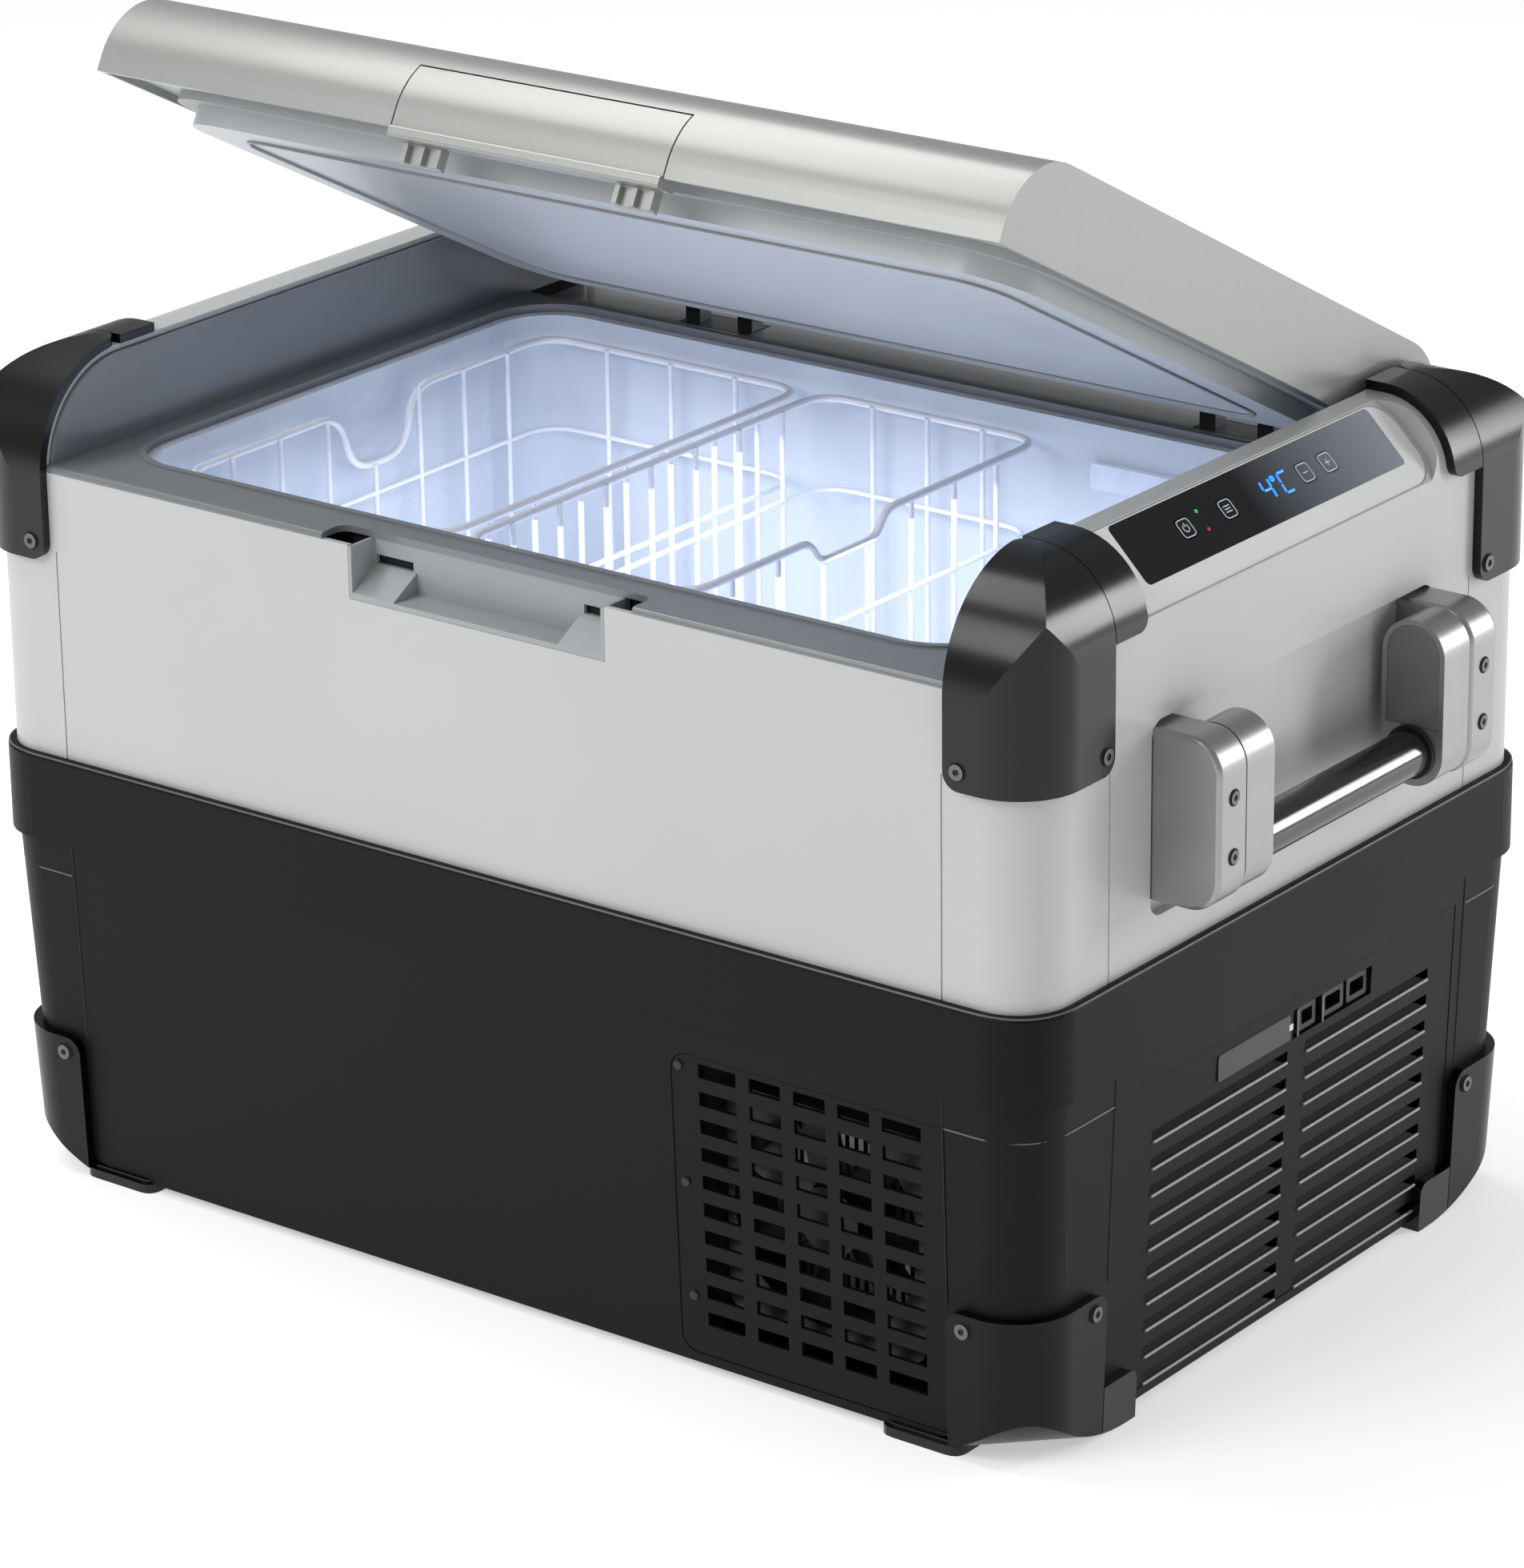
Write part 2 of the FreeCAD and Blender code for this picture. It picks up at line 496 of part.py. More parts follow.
def make_cold_side():
    outer = well_form("WellOuter", "liner_thick", "front_top - 1")
    inner = well_form("WellInner", "0", "wall_top")
    rim = block("WellRim", symmetric("opening_x + 10"), ("opening_front - 8", "opening_back + 3"),
                ("front_top - 3", "front_top - 0.2"), [("z", "opening_radius + 6")])
    liner = fused("LinerBody", outer, rim)
    node("inner_liner", cut("InnerLiner", liner, inner))
    top = block("FoamTop", symmetric("case_half_x - skin - 5"),
                ("recess_depth + 1 - case_half_y", "back_step - 8"), ("band_top", "front_top - 3.3"))
    bottom = block("FoamBottom", ("base_inset + skin + 2 - lower_half_x", "bay_x"),
                   symmetric("lower_half_y - base_inset - skin - 2"), ("base_height + skin", "band_top"),
                   [("z-x", "corner_radius")])
    bottom = common("FoamBottomRounded", bottom, *corner_rounds("FoamCorner", "-skin - 2"))
    over_bay = block("FoamOverBay", ("bay_x", "case_half_x - skin - 8"), symmetric("bay_half_y + 6"),
                     ("bay_top", "band_top"))
    front = block("FoamFront", symmetric("case_half_x - skin - 9"), symmetric("case_half_y - skin"),
                  ("band_top", "recess_low - 4"), [("z", "corner_radius")])
    foam = fused("FoamBody", top, bottom, over_bay, front)
    cavity = well_form("FoamCavity", "liner_thick + foam_gap", "wall_top")
    pockets = block("FoamPocketGap", ("case_half_x - pocket_depth - skin - 1", "case_half_x"),
                    symmetric("pocket_y + 6"), ("pocket_low - 6", "pocket_high + 6"))
    node("insulation_foam", cut("InsulationFoam", foam, cavity, pockets,
                                mirrored("FoamPocketGapLeft", pockets, MIRROR_X)))
    plate_outer = block("PlateOuter", ("-well_x - liner_thick - 1.4", "hump_x - 20"),
                        ("well_front - liner_thick - 1.4", "well_back + liner_thick + 1.4"),
                        ("well_floor + 20", "hump_top - 30"), [("z-x", "opening_radius - 2.1")])
    node("evaporator_plate", cut("EvaporatorPlate", plate_outer, well_form("PlateHollow", "liner_thick + 0.1",
                                                                           "wall_top")))


def make_basket(label, low_x, high_x, low_z):
    """Plain open tray with the outer size of the coated wire basket."""
    outer = block(label + "Outer", (low_x, high_x), ("basket_front", "basket_back"),
                  (low_z, "basket_top"), [("z", "22")])
    inner = block(label + "Inner", (f"{low_x} + basket_wall", f"{high_x} - basket_wall"),
                  ("basket_front + basket_wall", "basket_back - basket_wall"),
                  (f"{low_z} + basket_wall", "basket_top + 5"), [("z", "19")])
    node(label, cut(label + "Tray", outer, inner))


# ---------------------------------------------------------------- machinery
def make_machinery():
    shell = doc.addObject("PartDesign::Body", "CompressorBody")
    can = shell.newObject("PartDesign::AdditiveCylinder", "CompressorCan")
    bind(can, "Radius", "can_radius")
    bind(can, "Height", "can_height")
    bind(can, "Placement.Base.x", "can_x")
    bind(can, "Placement.Base.y", "can_y")
    bind(can, "Placement.Base.z", "can_low")
    doc.recompute()
    dome = shell.newObject("PartDesign::Fillet", "CompressorDome")
    dome.Base = (can, ["Face2", "Face3"])
    bind(dome, "Radius", "can_round")
    shell.Tip = dome
    plate = block("CompressorPlate", ("198", "318"), ("75", "165"), ("30", "34.5"), [("z", "12")])
    node("compressor", fused("Compressor", shell, plate))
    bushes = [rod(f"CompressorBush{x}{y}", "z", "9", "30 - base_height - skin",
                  (str(x), str(y), "base_height + skin")) for x in (210, 300) for y in (87, 150)]
    node("compressor_mounts", gathered("CompressorMounts", *bushes))

    fan_axis = ("fan_x", "fan_z")

    def fan_rod(name, radius, length, start):
        return rod(name, "y", radius, length, (fan_axis[0], start, fan_axis[1]))

    housing = block("FanHousing", ("fan_x - fan_half", "fan_x + fan_half"),
                    ("fan_front", "fan_front + fan_depth"), ("fan_z - fan_half", "fan_z + fan_half"),
                    [("y", "8")])
    bore = fan_rod("FanBore", "fan_bore", "fan_depth + 4", "fan_front - 2")
    motor = fan_rod("FanMotor", "16", "6", "fan_front + fan_depth - 6")
    struts = []
    for turn in (45, 135):
        strut = block(f"FanStrut{turn}", symmetric("fan_half - 1"), ("0", "3.5"), ("-3", "3"))
        strut.Placement.Rotation = FreeCAD.Rotation(FreeCAD.Vector(0, 1, 0), turn)
        for axis, text in zip("xyz", ("fan_x", "fan_front + fan_depth - 3.6", "fan_z")):
            bind(strut, f"Placement.Base.{axis}", text)
        struts.append(strut)
    node("fan_frame", fused("FanFrame", cut("FanRing", housing, bore), motor, *struts))
    hub = fan_rod("FanHub", "18", "16.5", "fan_front + 2")
    blades = []
    blade_count = 7
    for count in range(blade_count):
        blade = block(f"FanBlade{count}", ("12", "fan_bore - 3"), ("-1", "1"), ("-9", "9"), [("y+x", "6")])
        pitch = FreeCAD.Rotation(FreeCAD.Vector(1, 0, 0), 35)
        spin = FreeCAD.Rotation(FreeCAD.Vector(0, 1, 0), count * 360 / blade_count)
        blade.Placement.Rotation = spin.multiply(pitch)
        for axis, text in zip("xyz", ("fan_x", "fan_front + 10", "fan_z")):
            bind(blade, f"Placement.Base.{axis}", text)
        blades.append(blade)
    node("fan_rotor", fused("FanRotor", hub, *blades))

    core = block("CondenserCore", ("core_low_x", "core_low_x + core_size"),
                 ("core_front", "core_front + core_depth"), ("core_low", "core_low + core_size"))
    gaps = gathered("CondenserGaps", *[
        block(f"CondenserGap{count}", (f"core_low_x + 3 + {count} * 5.6", f"core_low_x + 5.6 + {count} * 5.6"),
              ("core_front - 1", "core_front + core_depth - 8"), ("core_low + 3", "core_low + core_size - 3"))
        for count in range(20)])
    node("condenser", cut("Condenser", core, gaps))
    drier = rod("DrierBody", "z", "11", "drier_length", ("drier_x", "drier_y", "drier_low"))
    drier_ends = [rod("DrierInlet", "z", "pipe_radius", "20",
                      ("drier_x", "drier_y", "drier_low + drier_length - 1")),
                  rod("DrierOutlet", "z", "pipe_radius", "22", ("drier_x", "drier_y", "drier_low - 21"))]
    node("filter_drier", fused("FilterDrier", drier, *drier_ends))
    routes = {
        "DischargeLine": [(240, 66, 110), (240, 20, 110), (240, 20, 170), (240, -110, 170)],
        "LiquidLine": [(150, -110, 50), (150, -90, 50), (160, -90, 170), (160, -60, 170)],
        "SuctionLine": [(290, 72, 130), (290, 40, 130), (290, 40, 205), (140, 40, 205)],
    }
    lines = []
    for name, route in routes.items():
        vectors = [FreeCAD.Vector(*point) for point in route]
        pieces = []
        for count, (start, end) in enumerate(zip(vectors, vectors[1:])):
            run = end - start
            pipe = doc.addObject("Part::Cylinder", f"{name}Run{count}")
            bind(pipe, "Radius", "pipe_radius")
            pipe.Height = run.Length
            pipe.Placement = FreeCAD.Placement(start, FreeCAD.Rotation(FreeCAD.Vector(0, 0, 1), run))
            pieces.append(pipe)
        for count, point in enumerate(vectors[1:-1]):
            pieces.append(ball(f"{name}Bend{count}", "pipe_radius", point))
        lines.append(fused(name, *pieces))
    node("refrigerant_lines", gathered("RefrigerantLines", *lines))
    node("power_module", block("PowerModule", ("190", "290"), ("-110", "-40"), ("12", "48"), [("z", "4")]))
    inlet_back = "lower_half_x - 26"
    inlet_front = "lower_half_x - panel_thick - 0.6"
    for label, low, high in (("dc_inlet", 34, 54), ("ac_inlet", 57, 76), ("usb_port", 12, 28)):
        socket = block(label + "Body", (inlet_back, inlet_front), (low, high), ("154.5", "168"), [("x", "2")])
        mouth = block(label + "Mouth", (f"{inlet_front} - 9", "lower_half_x + 5"),
                      (f"{low} + 3", f"{high} - 3"), ("157.5", "165"), [("x", "1.2")])
        node(label, cut(label + "Socket", socket, mouth))


# ---------------------------------------------------------------- control panel
KEY_CENTRES = {"power_button": -64.4, "set_button": -28.4, "minus_button": 40.7, "plus_button": 60.5}


def make_controls():
    """Bezel, glossy window, circuit board and four keys on the sloped shoulder."""
    plate = block("BezelPlate", ("-facet_half + facet_rim + 0.3", "facet_half - facet_rim - 0.3"),
                  ("facet_front + 3.3", "facet_back - 3.3"), ("-7", "-0.5"), [("z+y", "16.7"), ("z-y", "3.7")])
    window = block("BezelWindow", ("glass_low", "glass_high"), symmetric("glass_y"),
                   ("-glass_thick - 0.5", "1"), [("z", "3")])
    board_room = block("BezelBoardRoom", ("glass_low + 5", "glass_high - 3"), symmetric("glass_y - 4"),
                       ("-8", "0"))
    node("control_bezel", facet_place(cut("ControlBezel", plate, window, board_room)))
    glass = block("GlassPlate", ("glass_low + 0.1", "glass_high - 0.1"), symmetric("glass_y - 0.1"),
                  ("-glass_thick - 0.5", "-0.5"), [("z", "2.9")])
    holes = gathered("KeyHoles", *[
        block(f"Hole_{name}", ("key_line - key_size / 2 - key_gap", "key_line + key_size / 2 + key_gap"),
              (f"{centre} - key_size / 2 - key_gap", f"{centre} + key_size / 2 + key_gap"), ("-5", "2"),
              [("z", "2.6")]) for name, centre in KEY_CENTRES.items()])
    node("display_window", facet_place(cut("DisplayWindow", glass, holes)))
    node("display_board", facet_place(gathered("DisplayBoard", block(
        "DisplayBoardPlate", ("glass_low + 6", "glass_high - 4"), symmetric("glass_y - 5"), ("-6.6", "-5")))))
    for name, centre in KEY_CENTRES.items():
        key = block(f"Key_{name}", ("key_line - key_size / 2", "key_line + key_size / 2"),
                    (f"{centre} - key_size / 2", f"{centre} + key_size / 2"), ("-3.6", "-0.4"), [("z", "2.2")])
        node(name, facet_place(gathered(f"{name}Key", key)))


# ---------------------------------------------------------------- lid
def lid_form(name, shrink):
    """The lid's outer form, shrunk inwards: a long block with both upper edges rounded."""
    return block(name, symmetric(f"lid_half_x - ({shrink})"),
                 (f"lid_front + ({shrink})", f"lid_rear - ({shrink})"), ("lid_bottom", f"lid_top - ({shrink})"),
                 [("x-y+z", f"lid_front_radius - ({shrink})"), ("x+y+z", f"lid_rear_radius - ({shrink})")])


def make_lid():
    outer = lid_form("LidOuter", "0")
    inner = lid_form("LidInner", "lid_skin")
    flap_gap = block("LidFlapGap", symmetric("flap_half_x + flap_gap"),
                     ("lid_front - 5", "lid_front + 17"), ("lid_bottom - 5", "flap_top + flap_gap"))
    hinge_gaps = gathered("LidHingeGaps", *[
        block(f"LidHingeGap{side + 1}", (f"{side} * hinge_x - hinge_width / 2 - 0.6",
                                         f"{side} * hinge_x + hinge_width / 2 + 0.6"),
              ("-12", "lid_rear + 5"), ("lid_bottom - 5", "11")) for side in (-1, 1)])
    node("lid_shell", lid_place(cut("LidShell", outer, inner, flap_gap, hinge_gaps)))

    panel = block("LinerPanel", symmetric("lid_half_x - lid_skin - 0.1"),
                  ("lid_front + lid_skin + 0.1", "lid_rear - lid_skin - 0.1"), ("-4", "-1.5"))
    plug = block("LinerPlug", symmetric("plug_x"), ("plug_front", "plug_rear"), ("plug_bottom", "-2"),
                 [("z", "opening_radius - 6")])
    hollow = block("LinerHollow", symmetric("plug_x - plug_skin"),
                   ("plug_front + plug_skin", "plug_rear - plug_skin"), ("plug_bottom + plug_skin", "0"),
                   [("z", "opening_radius - 6 - plug_skin")])
    node("lid_liner", lid_place(cut("LidLiner", fused("LidLinerBody", panel, plug), hollow,
                                    block("LinerFlapGap", symmetric("flap_half_x + flap_gap"),
                                          ("lid_front", "lid_front + 17"), ("-10", "5")), hinge_gaps)))
    foam_low = block("LidFoamLow", symmetric("plug_x - 2.7"), ("plug_front + 2.7", "plug_rear - 2.7"),
                     ("plug_bottom + 2.7", "2"), [("z", "opening_radius - 8.7")])
    foam_high = cut("LidFoamHigh", lid_form("LidFoamForm", "lid_skin + 0.2"),
                    block("LidFoamFloor", symmetric("lid_half_x + 5"), ("lid_front - 5", "lid_rear + 5"),
                          ("lid_bottom - 5", "-1.3")))
    foam_gap = block("LidFoamGap", symmetric("flap_half_x + 6"), ("lid_front", "lid_front + 21"), ("-10", "50"))
    node("lid_foam", lid_place(cut("LidFoam", fused("LidFoamBody", foam_high, foam_low), foam_gap,
                                   block("LidFoamBack", symmetric("lid_half_x"), ("-16", "lid_rear"),
                                         ("-10", "50")))))
    gasket = block("GasketOuter", symmetric("plug_x + gasket_width"),
                   ("plug_front - gasket_width", "plug_rear + gasket_width"), ("-8.9", "-4"),
                   [("z", "opening_radius + 2")])
    gasket_hole = block("GasketHole", symmetric("plug_x + 0.1"), ("plug_front - 0.1", "plug_rear + 0.1"),
                        ("-20", "0"), [("z", "opening_radius - 5.9")])
    node("lid_gasket", lid_place(cut("LidGasket", gasket, gasket_hole)))


def make_latch():
    """Pull flap across the lid's front edge, its pivot pin and the ribbed hooks below it."""
    outer = lid_form("FlapOuter", "0")
    inner = lid_form("FlapInner", "flap_thick")
    zone = block("FlapZone", symmetric("flap_half_x"), ("lid_front - 1", "lid_front + 16"),
                 ("lid_bottom - 1", "flap_top"))
    skin = common("FlapSkin", cut("FlapRing", outer, inner), zone)
    lip = block("FlapLip", symmetric("flap_half_x"), ("lid_front - 2", "lid_front + 11.5"),
                ("lid_bottom - lip_drop", "lid_bottom + 1"), [("x-y", "1.6")])
    pieces = [skin, lip]
    for side in (-1, 1):
        pieces.append(block(f"HookPlate{side + 1}", (f"{side} * hook_x - hook_width / 2",
                                                     f"{side} * hook_x + hook_width / 2"),
                            ("lid_front + 9", "lid_front + 12"), ("hook_low", "lid_bottom"),
                            [("x-y-z", "1.2")]))
        for rib in (-1, 0, 1):
            middle = f"{side} * hook_x + {rib} * (hook_width / 2 - 1.6)"
            pieces.append(block(f"HookRib{side + 1}{rib + 1}", (f"{middle} - 1.5", f"{middle} + 1.5"),
                                ("lid_front + 5.5", "lid_front + 10"), ("hook_low + 1", "lid_bottom - 6")))
        pieces.append(block(f"FlapEar{side + 1}", (f"{side} * 70 - 3", f"{side} * 70 + 3"),
                            ("lid_front + 8.6", "lid_front + 15.5"), ("latch_pin_z - 4", "flap_top - 0.6")))
    bore = rod("FlapBore", "x", "latch_pin_radius + running_gap", "2 * flap_half_x + 20",
               ("-flap_half_x - 10", "latch_pin_y", "latch_pin_z"))
    node("latch_flap", lid_place(cut("LatchFlap", fused("LatchFlapBody", *pieces), bore)))
    node("latch_pin", lid_place(gathered("LatchPin", rod(
        "LatchPinRod", "x", "latch_pin_radius", "2 * (flap_half_x + 12)",
        ("-flap_half_x - 12", "latch_pin_y", "latch_pin_z")))))


def make_hinges():
    """Two hinges: a bracket on the casing with two knuckles, a leaf in the lid, and a pin each."""
    brackets, leaves, pins = [], [], []
    for side in (-1, 1):
        middle = f"{side} * hinge_x"
        foot = block(f"HingeFoot{side + 1}", (f"{middle} - hinge_width / 2", f"{middle} + hinge_width / 2"),
                     ("hinge_y - 10", "hinge_y + 10"), ("ledge_top", "ledge_top + 3"))
        knuckles = []
        for end in (-1, 1):
            centre = f"{middle} + {end} * (hinge_width / 2 - 5)"
            post = block(f"HingePost{side + 1}{end + 1}", (f"{centre} - 5", f"{centre} + 5"),
                         ("hinge_y - 5", "hinge_y + 5"), ("ledge_top + 1", "hinge_height"))
            eye = rod(f"HingeEye{side + 1}{end + 1}", "x", "6", "10",
                      (f"{centre} - 5", "hinge_y", "hinge_height"))
            knuckles += [post, eye]
        hole = rod(f"HingeHole{side + 1}", "x", "hinge_pin_radius", "hinge_width + 10",
                   (f"{middle} - hinge_width / 2 - 5", "hinge_y", "hinge_height"))
        brackets.append(cut(f"HingeBracket{side + 1}", fused(f"HingeBody{side + 1}", foot, *knuckles), hole))
        pins.append(rod(f"HingePin{side + 1}", "x", "hinge_pin_radius", "hinge_width",
                        (f"{middle} - hinge_width / 2", "hinge_y", "hinge_height")))
        barrel = rod(f"LeafBarrel{side + 1}", "x", "6", "hinge_width - 21",
                     (f"{middle} - hinge_width / 2 + 10.5", "0", "0"))
        leaf = block(f"LeafPlate{side + 1}", (f"{middle} - hinge_width / 2 + 10.5",
                                             f"{middle} + hinge_width / 2 - 10.5"), ("-14.5", "0"), ("2", "6"))
        leaf_foot = block(f"LeafFoot{side + 1}", (f"{middle} - hinge_width / 2 + 10.5",
                                                 f"{middle} + hinge_width / 2 - 10.5"), ("-15.5", "-12.1"),
                          ("-1.5", "30"))
        leaf_hole = rod(f"LeafHole{side + 1}", "x", "hinge_pin_radius + running_gap", "hinge_width",
                        (f"{middle} - hinge_width / 2", "0", "0"))
        leaves.append(cut(f"HingeLeaf{side + 1}", fused(f"LeafBody{side + 1}", barrel, leaf, leaf_foot),
                          leaf_hole))
    node("hinge_brackets", gathered("HingeBrackets", *brackets))
    node("hinge_pins", gathered("HingePins", *pins))
    node("lid_hinge_leaves", lid_place(gathered("LidHingeLeaves", *leaves)))


# ---------------------------------------------------------------- handles
def make_handles():
    """Each end: two fixed blocks, two swinging arms, a grip tube and a pin through each pair."""
    blocks, arms, pins, covers = [], [], [], []
    for side in (-1, 1):
        def span(low, high):
            return (low, high) if side > 0 else (f"-({high})", f"-({low})")
        fixed = block(f"HandleBlockForm{side + 1}", ("case_half_x - pocket_depth", "handle_out"),
                      span("block_y", "block_end"), ("handle_low", "handle_high"),
                      [("y+x", "handle_radius"), ("z+x", "2.5")])
        hole = rod(f"BlockBore{side + 1}", "y", "pivot_radius", "30",
                   ("pivot_x", f"{side} * 110 - 15", "pivot_z"))
        blocks.append(cut(f"HandleBlock{side + 1}", fixed, hole))
        arm = block(f"HandleArmForm{side + 1}", ("arm_back", "arm_front"),
                    span("arm_y", "arm_y + arm_width"), ("handle_low + 0.5", "handle_high - 0.5"),
                    [("y", "(arm_front - arm_back) / 2 - 0.1")])
        bore = rod(f"ArmBore{side + 1}", "y", "pivot_radius + running_gap", "30",
                   ("pivot_x", f"{side} * 88.9 - 15", "pivot_z"))
        socket = rod(f"ArmSocket{side + 1}", "y", "bar_radius", "30",
                     ("pivot_x", f"{side} * 88.9 - 15", "bar_z"))
        cover_room = block(f"CoverRoom{side + 1}", ("arm_back + 3", "arm_front - 3"),
                           span("arm_y - 1", "arm_y + 1.2"), ("bar_z + bar_radius + 1.5", "handle_high - 3.4"),
                           [("y+z", "14.5")])
        arms.append(cut(f"HandleArm{side + 1}", arm, bore, socket, cover_room))
        covers.append(block(f"ArmCover{side + 1}", ("arm_back + 3.2", "arm_front - 3.2"),
                            span("arm_y + 0.2", "arm_y + 1.2"),
                            ("bar_z + bar_radius + 1.7", "handle_high - 3.6"), [("y+z", "14.3")]))
        pins.append(rod(f"HandlePin{side + 1}", "y", "pivot_radius", "block_end - arm_y - 3",
                        ("pivot_x", "arm_y + 2" if side > 0 else "1 - block_end", "pivot_z")))
    tube = rod("HandleTubeOuter", "y", "bar_radius", "2 * (arm_y + arm_width - 2)",
               ("pivot_x", "2 - arm_y - arm_width", "bar_z"))
    tube_bore = rod("HandleTubeBore", "y", "bar_radius - 2", "2 * (arm_y + arm_width)",
                    ("pivot_x", "-arm_y - arm_width", "bar_z"))
    pieces = {
        "handle_blocks": gathered("HandleBlocks", *blocks),
        "handle_arms": gathered("HandleArms", *arms),
        "handle_covers": gathered("HandleCovers", *covers),
        "handle_tube": cut("HandleTube", tube, tube_bore),
    }
    for label, piece in pieces.items():
        node(f"{label}_right", piece)
        node(f"{label}_left", mirrored(label + "LeftCopy", piece, MIRROR_X))
    pin_pair = gathered("HandlePins", *pins)
    node("handle_pins", gathered("AllHandlePins", pin_pair, mirrored("HandlePinsLeft", pin_pair, MIRROR_X)))


def make_screws():
    """Round-headed screws on both outer faces of each guard and on the handle blocks."""
    heads = []

    def head(name, along, face, low, at, radius, height):
        """A head standing on the far or near face across one axis; at holds the other two places."""
        base = low if face > 0 else f"-({low}) - {height}"
        places = [base, *at] if along == "x" else [at[0], base, at[1]]
        disc = rod(name + "Disc", along, radius, height, places)
        sunk = f"{height} * 0.4"
        places[0 if along == "x" else 1] = f"{base} + {sunk}" if face > 0 else f"{base} - {sunk}"
        heads.append(cut(name, disc, rod(name + "Socket", along, f"{radius} * 0.45", height, places)))

    guards = (("Upper", "guard_proud", "screw_high"), ("Lower", "guard_proud - foot_lean", "screw_low"))
    for level, proud, height in guards:
        casing = "case" if level == "Upper" else "lower"
        half_x, half_y = f"{casing}_half_x", f"{casing}_half_y"
        for side in (-1, 1):
            for face in (-1, 1):
                corner = f"{level}{side + 1}{face + 1}"
                head("FrontScrew" + corner, "y", face, f"{half_y} + {proud}",
                     (f"{side} * screw_x", height), "screw_radius", "screw_head")
                head("EndScrew" + corner, "x", side, f"{half_x} + {proud}",
                     (f"{face} * screw_y", height), "screw_radius", "screw_head")
    for height in ("block_screw_low", "block_screw_high"):
        for side in (-1, 1):
            for end in (-1, 1):
                head(f"Block_{height}{side + 1}{end + 1}", "x", side, "handle_out",
                     (f"{end} * (block_y + block_end) / 2", height), "block_screw_radius", "block_screw_head")
    node("screws", gathered("Screws", *heads))


fill_sheet()
make_upper_shell()
make_latch_keeper()
make_top_frame()
make_band()
make_lower_shell()
make_front_grille()
make_side_vent()
make_guards()
make_cold_side()
make_basket("basket_large", "-253", "-72", "well_floor + 5")
make_basket("basket_small", "-64", "84", "well_floor + 5")
make_machinery()
make_controls()
make_lid()
make_latch()
make_hinges()
make_handles()
make_screws()
node("interior_light", block("InteriorLight", ("110", "180"), ("well_back - 4", "well_back"),
                             ("front_top - 34", "front_top - 20"), [("y", "3")]))
doc.recompute()

failed = [item.Name for item in doc.Objects if "Invalid" in item.State or "Error" in item.State]
if failed:
    raise SystemExit(f"failed objects: {failed}")
os.makedirs("parts", exist_ok=True)
for label, piece in nodes.items():
    shape = piece.Shape
    if shape.isNull() or not shape.isValid() or not shape.Solids:
        raise SystemExit(f"{label} has no valid solid")
    shape.exportStep(f"parts/{label}.step")
print(f"{len(nodes)} sub-parts written")
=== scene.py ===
import math

import bmesh
import bpy
from mathutils import Matrix, Vector


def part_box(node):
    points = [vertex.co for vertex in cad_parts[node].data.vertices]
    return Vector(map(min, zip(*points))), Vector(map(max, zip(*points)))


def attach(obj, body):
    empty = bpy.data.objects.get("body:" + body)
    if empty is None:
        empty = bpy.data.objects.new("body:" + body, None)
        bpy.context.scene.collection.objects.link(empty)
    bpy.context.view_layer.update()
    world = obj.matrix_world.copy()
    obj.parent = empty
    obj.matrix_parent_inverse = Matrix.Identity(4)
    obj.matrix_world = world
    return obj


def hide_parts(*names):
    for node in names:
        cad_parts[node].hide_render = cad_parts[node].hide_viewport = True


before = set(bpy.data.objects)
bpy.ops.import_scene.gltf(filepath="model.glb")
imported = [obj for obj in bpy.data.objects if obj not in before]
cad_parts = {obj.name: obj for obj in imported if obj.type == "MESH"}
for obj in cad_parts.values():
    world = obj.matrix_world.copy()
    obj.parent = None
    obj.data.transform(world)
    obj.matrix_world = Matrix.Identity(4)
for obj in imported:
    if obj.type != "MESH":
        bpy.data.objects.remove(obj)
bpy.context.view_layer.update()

# Lengths below are millimetres in the part's frame; METRES turns them into Blender's metres.
MM = 0.001
METRES = Matrix.Scale(MM, 4)
HERE = Matrix.Identity(4)

# The sloped control facet (local x runs down and outwards, z stands off it) and the open lid.
FACET = Matrix.Translation((314.7, 0, 432.2)) @ Matrix.Rotation(math.radians(45), 4, "Y")
LID = Matrix.Translation((0, 200, 410)) @ Matrix.Rotation(math.radians(-27.7), 4, "X")

# Lower casing: its faces lean in by LEAN from the band down to the base.
LOWER_HALF = Vector((333, 223.5))
LOWER_TOP, LOWER_BASE, LEAN = 192, 5, 7
# The two signs of a mirrored pair: left and right in x, front and rear in y.
SIDES = (-1, 1)


def limits(node):
    """A CAD node's lowest and highest corners in millimetres."""
    low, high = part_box(node)
    return low / MM, high / MM


def lower_half(axis, height):
    """Half width (axis 0) or half depth (axis 1) of the lower casing at a height."""
    return LOWER_HALF[axis] - LEAN * (LOWER_TOP - height) / (LOWER_TOP - LOWER_BASE)


# ---------------------------------------------------------------- camera
AZIMUTH, ELEVATION, ROLL = 37.38, 20.79, -0.74
CAMERA_AIM, CAMERA_DISTANCE = Vector((4.8, 0, 219.33)), 3300.44
SENSOR_WIDTH, FOCAL_LENGTH = 36, 144.9


